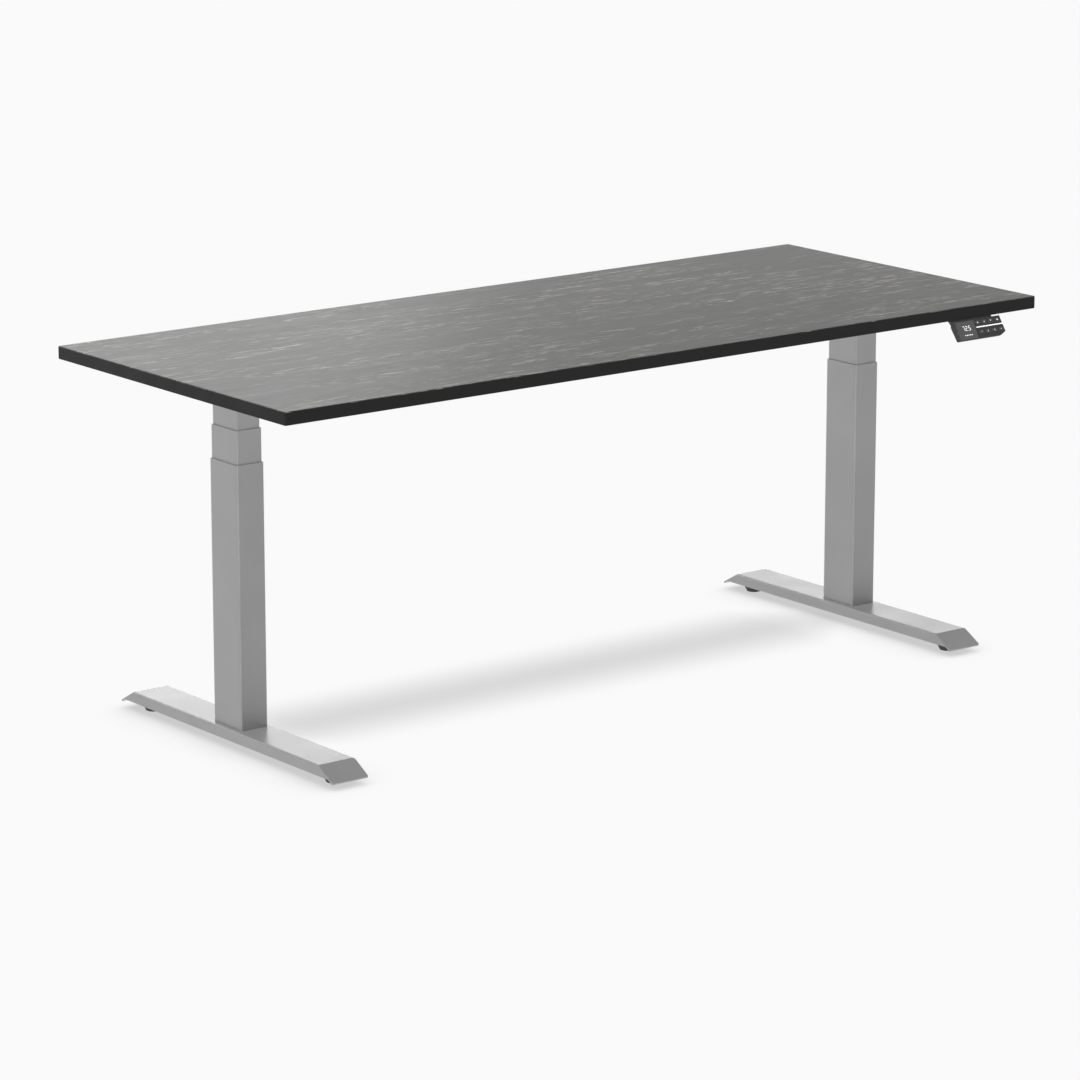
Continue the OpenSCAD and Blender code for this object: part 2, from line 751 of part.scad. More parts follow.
// Out of the handset's back, along the underside, over the front rail and into the box
module handset_lead() {
    x = handset_lead_x;
    out = handset_point([0, lead_exit_y, lead_exit_z]);
    away = handset_point([0, lead_exit_y + 6, lead_exit_z]);
    rise = handset_lead_z - away[1];
    run_y = handset_run_y;
    turn = 20;
    socket_y = -box_depth / 2 - socket_t;
    rail_back = rail_y - rail_w / 2 - 4;
    color(box_black) lead([
        [x, out[0], out[1]], [x, away[0], away[1]],
        [x, away[0] + 9, away[1] + 0.1 * rise], [x, away[0] + 18, away[1] + 0.5 * rise],
        [x, away[0] + 27, away[1] + 0.8 * rise], [x, away[0] + 42, handset_lead_z],
        [x, away[0] + 60, handset_lead_z], [x, run_y - 1.7 * turn, handset_lead_z],
        [x, run_y - turn, handset_lead_z],
        [x - 0.3 * turn, run_y - 0.3 * turn, handset_lead_z],
        [x - turn, run_y, handset_lead_z], [x - 1.7 * turn, run_y, handset_lead_z],
        [front_socket_x + 1.7 * turn, run_y, handset_lead_z],
        [front_socket_x + turn, run_y, handset_lead_z],
        [front_socket_x + 0.3 * turn, run_y + 0.3 * turn, handset_lead_z],
        [front_socket_x, run_y + turn, handset_lead_z],
        [front_socket_x, run_y + 1.7 * turn, handset_lead_z],
        [front_socket_x, -rail_back - 16, handset_lead_z],
        [front_socket_x, -rail_back, handset_lead_z],
        [front_socket_x, 0.6 * socket_y - 0.4 * rail_back, 0.5 * (handset_lead_z + box_socket_z)],
        [front_socket_x, socket_y - 4, box_socket_z + 1],
        [front_socket_x, socket_y, box_socket_z]],
        handset_lead_d, [1, 0, 0]);
}

// A point of the handset's tilted frame, as [y, z] of the desk
function handset_point(p) = [
    handset_y + p[1] * cos(handset_tilt) + p[2] * sin(handset_tilt),
    handset_z - p[1] * sin(handset_tilt) + p[2] * cos(handset_tilt)];

// A clip glued to the underside, open for a lead along X or, turned, along Y
module clip(d, z) {
    length = 10;
    side_wall = 3;
    h = underside - z + d / 2 + 1.4;
    difference() {
        translate([-length / 2, -d / 2 - side_wall, underside - h])
            cube([length, d + 2 * side_wall, h]);
        translate([-length / 2 - eps, 0, z]) x_rod(d + 0.3, length + 2 * eps);
    }
}

module cable_clips() {
    run_y = handset_run_y;
    color(box_black) {
        for (side = [LEFT, RIGHT])
            translate([side * 0.55 * motor_back, worm_y, 0]) clip(motor_lead_d, motor_lead_z);
        translate([handset_lead_x, run_y - 45, 0]) rotate(90) clip(handset_lead_d, handset_lead_z);
        for (share = [0.3, 0.75])
            translate([front_socket_x + share * (handset_lead_x - front_socket_x), run_y, 0])
                clip(handset_lead_d, handset_lead_z);
    }
}

// ---- Handset ----

module handset_frame() {
    translate([handset_x, handset_y, handset_z]) rotate([-handset_tilt, 0, 0]) children();
}

function key_place(i) =
    let (row = floor(i / 4)) [key_first[row] + (i % 4) * key_pitch, key_rows[row]];

// The case, wedge-shaped from the side, with its neck and the plate under the desktop
module handset_case() {
    foot_cut = 2;
    corner = [14.4, 6.6];
    low_t = handset_t - handset_taper;
    color(box_black) {
        handset_frame() difference() {
            intersection() {
                translate([0, handset_t, 0]) rotate([90, 0, 0]) linear_extrude(handset_t) polygon([
                    [0, 0], [handset_len, 0], [handset_len + right_lean, corner[1] - handset_face],
                    [handset_len + right_lean - corner[0], -handset_face],
                    [-left_lean, -handset_face]]);
                translate([-left_lean, 0, 0]) rotate([90, 0, 90])
                    linear_extrude(handset_len + left_lean + right_lean)
                        polygon([[0, 0], [handset_t, -handset_top_fall],
                            [low_t, foot_cut - handset_face], [low_t - foot_cut, -handset_face],
                            [0, -handset_face]]);
            }
            translate([rim, -eps, rim - handset_face])
                cube([window_w, window_t + eps, handset_face - 2 * rim]);
            for (i = [0 : 7]) translate([key_place(i)[0], 0, key_place(i)[1]])
                key_shape(key_w + 2 * key_gap, key_h + 2 * key_gap, -eps, key_pocket);
        }
        handset_bracket();
    }
}

// Plate and neck, in the desk's frame, run into the top of the case
module handset_bracket() {
    neck_top = handset_point([0, 2, -1.5]);
    neck_low = handset_point([0, handset_t - 2, -handset_top_fall - 1.6]);
    left = handset_x + bracket_start;
    front = handset_y + bracket_front;
    difference() {
        translate([left, front, underside - bracket_t])
            cube([bracket_w, bracket_back - bracket_front, bracket_t]);
        translate([0, 0, underside]) screw_places() translate([0, 0, -eps])
            cylinder(d = wood_screw_d + 2 * fit, h = bracket_t + 2 * eps);
    }
    translate([left, 0, 0]) rotate([90, 0, 90]) linear_extrude(bracket_w) polygon([
        [front, underside - 1], neck_top, neck_low, [neck_low[0] + 8, underside - 1]]);
}

// A key's outline with round corners, from y = from to y = to
module key_shape(w, h, from, to) {
    translate([0, to, 0]) rotate([90, 0, 0]) linear_extrude(to - from) round_rect(w, h, 1);
}

module display_window() {
    gap = 0.05;
    color(key_grey) handset_frame()
        translate([rim + gap, 0, rim + gap - handset_face])
            cube([window_w - 2 * gap, window_t, handset_face - 2 * (rim + gap)]);
}

module key(i) {
    color(key_grey) handset_frame() translate([key_place(i)[0], 0, key_place(i)[1]])
        key_shape(key_w, key_h, 0, key_t);
}

foot(LEFT);  // left_foot
foot(RIGHT);  // right_foot
outer_tube(LEFT);  // left_outer_tube
outer_tube(RIGHT);  // right_outer_tube
fixed_screw(LEFT);  // left_fixed_screw
fixed_screw(RIGHT);  // right_fixed_screw
liner(LEFT, outer_x, outer_y, outer_r, outer_top);  // left_outer_liner
liner(RIGHT, outer_x, outer_y, outer_r, outer_top);  // right_outer_liner
foot_bolts();
glide_nuts();
glide(LEFT, FRONT);  // left_front_glide
glide(LEFT, REAR);  // left_rear_glide
glide(RIGHT, FRONT);  // right_front_glide
glide(RIGHT, REAR);  // right_rear_glide
middle_tube(LEFT);  // left_middle_tube
middle_tube(RIGHT);  // right_middle_tube
liner(LEFT, middle_x, middle_y, middle_r, middle_top);  // left_middle_liner
liner(RIGHT, middle_x, middle_y, middle_r, middle_top);  // right_middle_liner
spindle_carrier(LEFT);  // left_spindle_carrier
spindle_carrier(RIGHT);  // right_spindle_carrier
spindle(LEFT);  // left_spindle
spindle(RIGHT);  // right_spindle
inner_tube(LEFT);  // left_inner_tube
inner_tube(RIGHT);  // right_inner_tube
spindle_nut(LEFT);  // left_spindle_nut
spindle_nut(RIGHT);  // right_spindle_nut
drive_tube(LEFT);  // left_drive_tube
drive_tube(RIGHT);  // right_drive_tube
gearbox(LEFT);  // left_gearbox
gearbox(RIGHT);  // right_gearbox
motor(LEFT);  // left_motor
motor(RIGHT);  // right_motor
arm(LEFT);  // left_arm
arm(RIGHT);  // right_arm
end_rail(LEFT, FRONT);  // left_front_end_rail
end_rail(LEFT, REAR);  // left_rear_end_rail
end_rail(RIGHT, FRONT);  // right_front_end_rail
end_rail(RIGHT, REAR);  // right_rear_end_rail
centre_rail(FRONT);  // front_centre_rail
centre_rail(REAR);  // rear_centre_rail
frame_bolts();
desktop_screws();
desktop();
control_box_base();
control_box_lid();
mains_inlet();
motor_lead(LEFT);  // left_motor_lead
motor_lead(RIGHT);  // right_motor_lead
handset_lead();
cable_clips();
handset_case();
display_window();
key(0);  // key_1
key(1);  // key_2
key(2);  // key_3
key(3);  // key_4
key(4);  // key_5
key(5);  // key_6
key(6);  // key_7
key(7);  // key_8
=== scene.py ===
# %% [markdown]
# # A standing desk with a bamboo top
# The desk stands on two lifting columns, each made of three steel tubes that slide in one another.
# A motor under the top turns the gearing in each column, and a small handset under the front
# edge sets the height. The metal parts arrive here as a finished frame. This lesson gives each
# of them its surface, and rebuilds the pieces that deserve finer shapes: the board with its
# softened edges, the glides, the handset with its lit display, and the small fittings.
# Everything is in metres, with X along the desk, Y away from the user and Z up.

# %% Load the frame
import json
import math

import bmesh
import bpy
from mathutils import Matrix, Vector


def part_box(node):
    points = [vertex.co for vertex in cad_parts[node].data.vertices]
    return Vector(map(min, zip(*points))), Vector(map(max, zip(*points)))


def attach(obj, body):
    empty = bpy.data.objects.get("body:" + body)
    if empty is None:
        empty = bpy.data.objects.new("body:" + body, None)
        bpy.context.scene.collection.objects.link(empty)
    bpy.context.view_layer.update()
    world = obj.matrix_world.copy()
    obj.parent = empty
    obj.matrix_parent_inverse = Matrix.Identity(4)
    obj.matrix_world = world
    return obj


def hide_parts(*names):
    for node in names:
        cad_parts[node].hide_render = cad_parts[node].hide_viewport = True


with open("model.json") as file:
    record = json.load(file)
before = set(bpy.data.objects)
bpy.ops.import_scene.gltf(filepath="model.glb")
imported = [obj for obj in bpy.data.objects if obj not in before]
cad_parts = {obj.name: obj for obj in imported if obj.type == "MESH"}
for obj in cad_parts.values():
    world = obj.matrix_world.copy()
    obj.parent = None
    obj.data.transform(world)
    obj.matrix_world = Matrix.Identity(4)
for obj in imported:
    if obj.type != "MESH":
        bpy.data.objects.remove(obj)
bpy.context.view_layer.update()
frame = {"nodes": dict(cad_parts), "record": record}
MM = 0.001
SIDES = ("left", "right")
X_AXIS, Y_AXIS, Z_AXIS = Vector((1, 0, 0)), Vector((0, 1, 0)), Vector((0, 0, 1))

# %% [markdown]
# ## The camera
# The desk is seen from its front left corner, from a good way off through a long lens, so its
# edges stay nearly parallel. A camera looks down its own -Z axis, so it is tipped up by a
# quarter turn less its downward slope and then swung from +Y towards +X by its heading.

# %% Camera
CAMERA_PLACE = (-5.24652, -6.73603, 2.36647)
CAMERA_HEADING = 0.65714
CAMERA_SLOPE = 0.23966
scene = bpy.context.scene
lens = bpy.data.cameras.new("view")
lens.lens = 150.366
lens.sensor_width = 36
lens.clip_end = 200
camera = bpy.data.objects.new("view", lens)
camera.location = CAMERA_PLACE
camera.rotation_euler = (math.pi / 2 - CAMERA_SLOPE, 0, -CAMERA_HEADING)
scene.collection.objects.link(camera)
scene.camera = camera
print("camera", CAMERA_PLACE, "lens", lens.lens, "mm")

# %% [markdown]
# ## Node helpers
# The world and every finish are small networks of shader nodes. A few helpers keep the wiring
# short. The first sets a node's inputs, each to a value or to another node's output, and the
# second adds a node. The next four add the nodes that are wanted most: a sum, a ramp from one
# range to another, a mix of two colours and noise. The last ones make a grey, start a
# material or a shared group with named sockets, place such a group and give the coordinates
# that stay with a piece.

# %% Node helpers
def fill(tree, node, inputs):
    """Sets a node's inputs, each to a value or to another node's output."""
    for key, value in inputs.items():
        if isinstance(value, bpy.types.NodeSocket):
            tree.links.new(value, node.inputs[key])
        else:
            node.inputs[key].default_value = value
    return node


def put(tree, kind, inputs=None, **settings):
    """Adds a node with its settings and inputs."""
    node = tree.nodes.new("ShaderNode" + kind)
    for key, value in settings.items():
        setattr(node, key, value)
    return fill(tree, node, inputs or {})


def calc(tree, operation, first, second=0.0):
    """The result of a sum on one or two numbers."""
    return put(tree, "Math", {0: first, 1: second}, operation=operation).outputs[0]


def ramp(tree, value, start, end, low=0.0, high=1.0, **settings):
    """Goes from low to high as value goes from start to end."""
    return put(tree, "MapRange", {
        "Value": value, "From Min": start, "From Max": end, "To Min": low, "To Max": high},
        **settings).outputs["Result"]


def blend(tree, factor, first, second):
    """A colour that goes from first to second as factor goes from 0 to 1."""
    return put(tree, "Mix", {"Factor": factor, "A": first, "B": second},
               data_type="RGBA").outputs["Result"]


def noise(tree, place, scale, detail, rough=0.5):
    """Noise with scale waves to the metre, or with its own scale along each axis."""
    if isinstance(scale, tuple):
        stretched = put(tree, "VectorMath", {0: place, 1: scale}, operation="MULTIPLY")
        place, scale = stretched.outputs[0], 1.0
    return put(tree, "TexNoise", {
        "Vector": place, "Scale": scale, "Detail": detail, "Roughness": rough}).outputs["Fac"]


def grey(level, warmth=0.0):
    """A grey as a colour, warmer above 0 and cooler below."""
    return (level * (1 + warmth), level, level * (1 - warmth), 1)


def start_material(name, roughness, metallic=0.0, specular=0.5):
    """A material and its Principled BSDF, with the values that are the same all over."""
    made = bpy.data.materials.new(name)
    made.use_nodes = True
    shader = made.node_tree.nodes["Principled BSDF"]
    fill(made.node_tree, shader, {
        "Roughness": roughness, "Metallic": metallic, "Specular IOR Level": specular})
    return made, made.node_tree, shader


def start_group(name, inputs, outputs):
    """A shader group with sockets given as names and kinds."""
    group = bpy.data.node_groups.new(name, "ShaderNodeTree")
    for in_out, sockets in (("INPUT", inputs), ("OUTPUT", outputs)):
        for socket_name, kind in sockets:
            group.interface.new_socket(
                name=socket_name, in_out=in_out, socket_type="NodeSocket" + kind)
    return group, group.nodes.new("NodeGroupInput"), group.nodes.new("NodeGroupOutput")


def use_group(tree, group, inputs):
    """Places a shared group in a material and gives its outputs."""
    return put(tree, "Group", inputs, node_tree=group).outputs


def place_of(tree):
    """The Object coordinates, which stay with the piece as it moves."""
    return put(tree, "TexCoord").outputs["Object"]


print("node helpers ready")

# %% [markdown]
# ## The studio's air
# A pale studio has white walls, which show in the satin paint. The world can be given a
# different brightness for each kind of ray with a Light Path node: white where the camera
# looks straight at it, a soft fade from bright walls up to a dim ceiling where a surface
# mirrors it, and much dimmer where it only lights. That keeps the columns' front
# faces darker than their sides and the level faces bright, as one broad lamp overhead does.

# %% World
STUDIO_WHITE, DIM_LIGHT = 0.955, 0.16
WALL_TOP, CEILING_START = 0.3, 0.75
WALL_GLOW, CEILING_GLOW = 1.02, 0.1
world = bpy.data.worlds.new("studio")
scene.world = world
scene.view_settings.view_transform = "Standard"
world.use_nodes = True
air = world.node_tree
air.nodes.clear()
upward = put(air, "SeparateXYZ", {0: put(air, "TexCoord").outputs["Generated"]}).outputs["Z"]
path = put(air, "LightPath").outputs
mirrored = put(air, "Background", {
    "Color": grey(1.0),
    "Strength": ramp(air, upward, WALL_TOP, CEILING_START, WALL_GLOW, CEILING_GLOW)})
dim = put(air, "Background", {"Color": grey(DIM_LIGHT)})
white = put(air, "Background", {"Color": grey(STUDIO_WHITE)})
unseen = put(air, "MixShader", {
    0: path["Is Glossy Ray"], 1: dim.outputs[0], 2: mirrored.outputs[0]})
any_ray = put(air, "MixShader", {
    0: path["Is Camera Ray"], 1: unseen.outputs[0], 2: white.outputs[0]})
put(air, "OutputWorld", {"Surface": any_ray.outputs[0]})
print("world:", len(air.nodes), "nodes")

# %% [markdown]
# ## Lamps
# A sun lamp is a lamp at infinity, so it lights the whole desk evenly. Given a wide angle it
# stands for a large soft box. The overhead one casts shadows, which give the pieces depth, and
# a second one beside it casts none, as light that is bounced about a white room fills what the
# board would hide. A weaker one from the left lifts the sides. A wide one near the camera only
# shines: its diffuse light is switched off, so all it adds is the bright line on round corners.
# Two cards behind the desk shine in the same way: one high and to the left puts a sheen on the
# board that fades to the right, and one low and wide brightens the level tops of the feet.

# %% Lamps
def aim(name, data, towards, place=(0, 0, 0)):
    """A lamp at place that shines along the direction towards."""
    holder = bpy.data.objects.new(name, data)
    holder.location = place
    holder.rotation_mode = "QUATERNION"
    holder.rotation_quaternion = Vector(towards).to_track_quat("-Z", "Y")
    scene.collection.objects.link(holder)
    return holder


def sun(name, strength, angle, towards, shadow=True):
    """A distant lamp that looks angle degrees wide."""
    lamp = bpy.data.lights.new(name, "SUN")
    lamp.energy = strength
    lamp.angle = math.radians(angle)
    lamp.use_shadow = shadow
    return aim(name, lamp, towards)


sun("overhead", 0.35, 60, (0, 0, -1))
sun("room_bounce", 1.18, 40, (0, 0, -1), shadow=False)
sun("left_fill", 0.36, 60, (1, 0.1, -0.35), shadow=False)
corner_glint = sun("corner_glint", 3.4, 66, (0.62, 0.78, -0.2), shadow=False)
corner_glint.visible_diffuse = False


def shining_card(name, size, energy, place):
    """A card behind the desk that is only seen in reflections."""
    lamp = bpy.data.lights.new(name, "AREA")
    lamp.shape = "RECTANGLE"
    lamp.size, lamp.size_y = size
    lamp.energy = energy
    card = aim(name, lamp, (0, -1, -0.2), place)
    card.visible_diffuse = card.visible_camera = False


shining_card("board_card", (4.0, 1.3), 27, (-0.35, 2.6, 1.95))
shining_card("floor_card", (7.4, 1.1), 45, (1.4, 2.6, 0.62))

# %% [markdown]
# ## A shared group: fine skin
# Powder coat, moulded plastic and rubber all have a skin: tiny bumps, and a slow drift of tone
# where the coat is thicker. One group makes both from noise, with the size of the bumps as an
# input, so that each material only chooses its own scale.

# %% Fine skin group
fine_skin, given, result = start_group(
    "fine_skin", [("Place", "Vector"), ("Bump size", "Float"), ("Drift size", "Float")],
    [("Bumps", "Float"), ("Drift", "Float")])
for size_name, output_name, detail in (("Bump size", "Bumps", 2.0), ("Drift size", "Drift", 4.0)):
    waves = calc(fine_skin, "DIVIDE", 1.0, given.outputs[size_name])
    fill(fine_skin, result, {
        output_name: noise(fine_skin, given.outputs["Place"], waves, detail)})
print("group", fine_skin.name)

# %% [markdown]
# ## A shared group: painted edge highlights
# Round edges catch the light, so a painted highlight makes the colour paler along them. The Bevel
# node gives the normal that the surface would have if its edges were rounder, so where that normal
# and the real one differ there is an edge. Noise breaks the painted highlight up into patches, so
# it doesn't look ruled.

# %% Painted edge highlight group
edge_highlight, given, result = start_group(
    "edge_highlight", [("Place", "Vector"), ("Width", "Float"), ("Patch size", "Float")],
    [("Edge", "Float")])
rounder = put(edge_highlight, "Bevel", {"Radius": given.outputs["Width"]}, samples=4)
real = put(edge_highlight, "NewGeometry")
alike = put(edge_highlight, "VectorMath",
            {0: rounder.outputs["Normal"], 1: real.outputs["Normal"]}, operation="DOT_PRODUCT")
unlike = ramp(edge_highlight, alike.outputs["Value"], 0.995, 0.86)
waves = calc(edge_highlight, "DIVIDE", 1.0, given.outputs["Patch size"])
patches = noise(edge_highlight, given.outputs["Place"], waves, 5.0)
patchy = ramp(edge_highlight, patches, 0.35, 0.65, 0.3, 1.0)
fill(edge_highlight, result, {"Edge": calc(edge_highlight, "MULTIPLY", unlike, patchy)})
print("group", edge_highlight.name)

# %% [markdown]
# ## Floor
# The floor is pale and plain, and its shadow is painted into it: soft, light and close to the desk,
# as in a room that is lit from every side. The floor glows, so it stays even, and two painted
# shadow masks darken its glow where the camera sees it: a soft painted shadow band between the
# feet, a little behind the middle, where the board hides most of the sky, and painted contact shade
# from an Ambient Occlusion node with a short reach, which finds the places beside the feet.
# Light that bounces off the floor is left even, so no shadow creeps up the columns.

# %% Floor
SHADOW_BAND_MIDDLE_Y, SHADOW_BAND_HALF_WIDTH, SHADOW_BAND_TONE = 0.045, 0.2, 0.70
SHADOW_FADE_START, SHADOW_FADE_END = 0.8, 1.12
CONTACT_SHADOW_TONE, CONTACT_REACH = 0.62, 0.09
FLOOR_HALF_SIZE = 60


def new_object(bm, name):
    """An object made from a bmesh, which is freed."""
    mesh = bpy.data.meshes.new(name)
    bm.to_mesh(mesh)
    bm.free()
    made = bpy.data.objects.new(name, mesh)
    scene.collection.objects.link(made)
    return made


bm = bmesh.new()
bmesh.ops.create_grid(bm, x_segments=1, y_segments=1, size=FLOOR_HALF_SIZE)
floor = new_object(bm, "floor")
floor_paint, tree, shader = start_material("studio_floor", 1.0, specular=0.0)
foot_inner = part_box("right_foot")[0][0]
spot = put(tree, "SeparateXYZ", {0: place_of(tree)}).outputs
# Painted shadow: the glow is darkened in a soft band between the feet and, from Ambient Occlusion,
# beside them; only camera rays see it.
from_band = calc(tree, "ABSOLUTE", calc(tree, "SUBTRACT", spot["Y"], SHADOW_BAND_MIDDLE_Y))
painted_shadow_band = ramp(tree, from_band, 0.0, SHADOW_BAND_HALF_WIDTH, SHADOW_BAND_TONE, STUDIO_WHITE,
                   interpolation_type="SMOOTHSTEP")
shadow_fade_past_feet = ramp(tree, calc(tree, "ABSOLUTE", spot["X"]), SHADOW_FADE_START * foot_inner,
                 SHADOW_FADE_END * foot_inner, 0.0, STUDIO_WHITE - SHADOW_BAND_TONE,
                 interpolation_type="SMOOTHSTEP")
band_shadow_tone = calc(tree, "MINIMUM", calc(tree, "ADD", painted_shadow_band, shadow_fade_past_feet), STUDIO_WHITE)
open_sky = put(tree, "AmbientOcclusion", {"Distance": CONTACT_REACH}, samples=32)
painted_contact_shade = ramp(tree, open_sky.outputs["AO"], 0.2, 1.0, CONTACT_SHADOW_TONE, 1.0)
painted_shadow_tone = calc(tree, "MULTIPLY", band_shadow_tone, painted_contact_shade)
seen_directly = put(tree, "LightPath").outputs["Is Camera Ray"]
fill(tree, shader, {
    "Base Color": grey(0.0), "Emission Strength": 1.0,
    "Emission Color": blend(tree, seen_directly, grey(STUDIO_WHITE), painted_shadow_tone)})
floor.data.materials.append(floor_paint)
print("floor", tuple(round(x) for x in floor.dimensions), "m")

# %% [markdown]
# ## Silver-grey powder coat
# The frame's paint is a satin powder coat with a trace of metal in it, so level faces mirror the
# pale walls at a low angle. The skin is orange peel about a millimetre across, very shallow, and a
# painted highlight makes the edges slightly brighter.

# %% Frame paint
def coat_material(name, level, roughness, metallic, bump_mm, drift_m, highlight_gain, warmth=0.0,
                  bump_depth=0.00002, specular=0.5):
    """A coat or moulded skin: shallow bumps, slow drift of tone and a painted highlight along the
    edges.
    """
    made, tree, shader = start_material(name, roughness, metallic, specular)
    where = place_of(tree)
    skin = use_group(tree, fine_skin, {
        "Place": where, "Bump size": bump_mm * MM, "Drift size": drift_m})
    painted_edge_highlight = use_group(tree, edge_highlight, {
        "Place": where, "Width": 0.9 * MM, "Patch size": 9 * MM})
    tone = ramp(tree, skin["Drift"], 0.3, 0.7)
    body = blend(tree, tone, grey(level * 0.965, warmth), grey(level * 1.035, warmth))
    bump = put(tree, "Bump", {
        "Height": skin["Bumps"], "Distance": bump_depth, "Strength": 1.0})
    fill(tree, shader, {
        # Painted highlight: the base colour turns paler along the edges, in patches.
        "Base Color": blend(tree, painted_edge_highlight["Edge"], body, grey(min(level * highlight_gain, 0.9), warmth)),
        "Roughness": ramp(tree, skin["Drift"], 0.3, 0.7, roughness - 0.04, roughness + 0.05),
        "Normal": bump.outputs[0]})
    return made


frame_paint = coat_material("frame_paint", 0.415, 0.32, 0.04, 1.1, 0.12, 1.25)
print("material", frame_paint.name)

# %% [markdown]
# ## Plastics, rubber and enamel
# The other coats differ only in tone, gloss and the size of their skin, so they come from the
# same function: fine spark-eroded texture on the handset and control box, smooth panel plastic
# for the keys, a soft matte rubber, a glossy black enamel and a plain jacket for the leads.

# %% Moulded and coated finishes
black_plastic = coat_material(
    "black_plastic", 0.018, 0.5, 0.0, 0.6, 0.05, 2.2, bump_depth=0.00003)
panel_plastic = coat_material(
    "handset_panel", 0.06, 0.38, 0.0, 0.35, 0.03, 1.5, bump_depth=0.000005)
window_plastic = coat_material(
    "display_window", 0.12, 0.22, 0.0, 0.9, 0.05, 1.2, bump_depth=0.000002)
pad_rubber = coat_material(
    "pad_rubber", 0.014, 0.7, 0.0, 0.5, 0.02, 1.8, bump_depth=0.00004)
motor_enamel = coat_material("motor_paint", 0.02, 0.3, 0.0, 1.6, 0.04, 2.0)
lead_jacket = coat_material(
    "lead_jacket", 0.02, 0.55, 0.0, 0.8, 0.03, 1.3, bump_depth=0.00001)
nylon = coat_material(
    "nylon", 0.78, 0.45, 0.0, 0.7, 0.03, 1.02, warmth=0.015, bump_depth=0.00001)
cast_alloy = coat_material(
    "cast_alloy", 0.5, 0.42, 0.9, 0.9, 0.02, 1.3, bump_depth=0.00006)
print("materials", [m.name for m in bpy.data.materials])

# %% [markdown]
# ## Bright zinc
# Bolts, screws and spindles are zinc plated. The plate has a faint clouded look and fine
# turning marks that run round the axis, so the noise is squeezed along Z into thin rings.

# %% Steel
PLATE_BLUE, PLATE_YELLOW = (0.46, 0.47, 0.5, 1), (0.66, 0.65, 0.6, 1)
steel, tree, shader = start_material("steel", 0.28, 1.0)
where = place_of(tree)
rings = noise(tree, where, (60, 60, 2600), 3.0)
plate_bump = put(tree, "Bump", {"Height": rings, "Distance": 0.00001})
fill(tree, shader, {
    "Base Color": blend(tree, noise(tree, where, 140.0, 3.0), PLATE_BLUE, PLATE_YELLOW),
    "Roughness": ramp(tree, rings, 0.0, 1.0, 0.2, 0.42),
    "Normal": plate_bump.outputs[0]})
print("material", steel.name)

# %% [markdown]
# ## Strand bamboo
# Strand-woven bamboo is bamboo fibre pressed into blocks and sawn into boards, here stained
# charcoal. Its figure is not like a tree's grain: long thin strands lie along the board and
# slip past each other, some pale where the stain did not take. Three layers of noise make it,
# each stretched along X: broad bands some centimetres wide, fine strands a few millimetres
# wide, and short pale flecks that gather in clouds. The end faces cut across the strands, so
# there the same noise would show as dots. The sawn edges are sealed with a black stain, so they
# have a finish of their own, a plain one.

# %% Strand group
# Waves to the metre along, across and through the board
BAND_WAVES, STRAND_WAVES = (3.5, 55, 55), (4, 200, 200)
FLECK_WAVES, CLOUD_WAVES = (22, 290, 290), (3.5, 26, 26)
SWAY = 0.006
strand_figure, given, result = start_group(
    "strand_figure", [("Place", "Vector")],
    [("Bands", "Float"), ("Strands", "Float"), ("Flecks", "Float")])
where = given.outputs["Place"]
sway = ramp(strand_figure, noise(strand_figure, where, 3.0, 2.0), 0.0, 1.0, -SWAY, SWAY)
sway_vector = put(strand_figure, "CombineXYZ", {"Y": sway})
swayed = put(strand_figure, "VectorMath", {0: where, 1: sway_vector.outputs[0]}).outputs[0]
flecks = ramp(strand_figure, noise(strand_figure, swayed, FLECK_WAVES, 3.0, 0.6), 0.565, 0.64)
clouds = ramp(strand_figure, noise(strand_figure, where, CLOUD_WAVES, 4.0, 0.6),
              0.42, 0.62, 0.05, 1.0)
fill(strand_figure, result, {
    "Bands": noise(strand_figure, swayed, BAND_WAVES, 3.0),
    "Strands": noise(strand_figure, swayed, STRAND_WAVES, 5.0, 0.64),
    "Flecks": calc(strand_figure, "MULTIPLY", flecks, clouds)})
print("group", strand_figure.name)

# %% Bamboo
STAIN_DARK, STAIN_LIGHT = (0.017, 0.0165, 0.0165, 1), (0.04, 0.0385, 0.0365, 1)
STRAND_PALE, FLECK_PALE = (0.14, 0.137, 0.126, 1), (0.5, 0.495, 0.43, 1)
EDGE_HIGHLIGHT_TONE = (0.12, 0.112, 0.1, 1)
bamboo, tree, shader = start_material("bamboo", 0.4, 0.0, 0.23)
where = place_of(tree)
figure = use_group(tree, strand_figure, {"Place": where})
painted_edge_highlight = use_group(tree, edge_highlight, {
    "Place": where, "Width": 1.2 * MM, "Patch size": 14 * MM})
stain = blend(tree, ramp(tree, figure["Bands"], 0.32, 0.68), STAIN_DARK, STAIN_LIGHT)
strand_tone = ramp(tree, figure["Strands"], 0.47, 0.68, 0.0, 0.85)
with_strands = blend(tree, strand_tone, stain, STRAND_PALE)
with_flecks = blend(tree, figure["Flecks"], with_strands, FLECK_PALE)
relief = put(tree, "Bump", {
    "Height": figure["Strands"], "Distance": 0.00006, "Strength": 0.6})
fill(tree, shader, {
    # Painted highlight: the base colour turns paler along the board's edges, in patches.
    "Base Color": blend(tree, painted_edge_highlight["Edge"], with_flecks, EDGE_HIGHLIGHT_TONE),
    "Roughness": ramp(tree, figure["Strands"], 0.3, 0.7, 0.36, 0.5),
    "Normal": relief.outputs[0]})
stained_edge = coat_material("stained_edge", 0.012, 0.6, 0.0, 0.9, 0.06, 1.6, specular=0.16)
print("materials", bamboo.name, stained_edge.name)

# %% [markdown]
# ## Glowing white plastic
# The digits and light bar are lit from inside, and the key marks are printed white with a painted
# glow on them. Each is white plastic that glows, slightly unevenly, as a diffuser does.

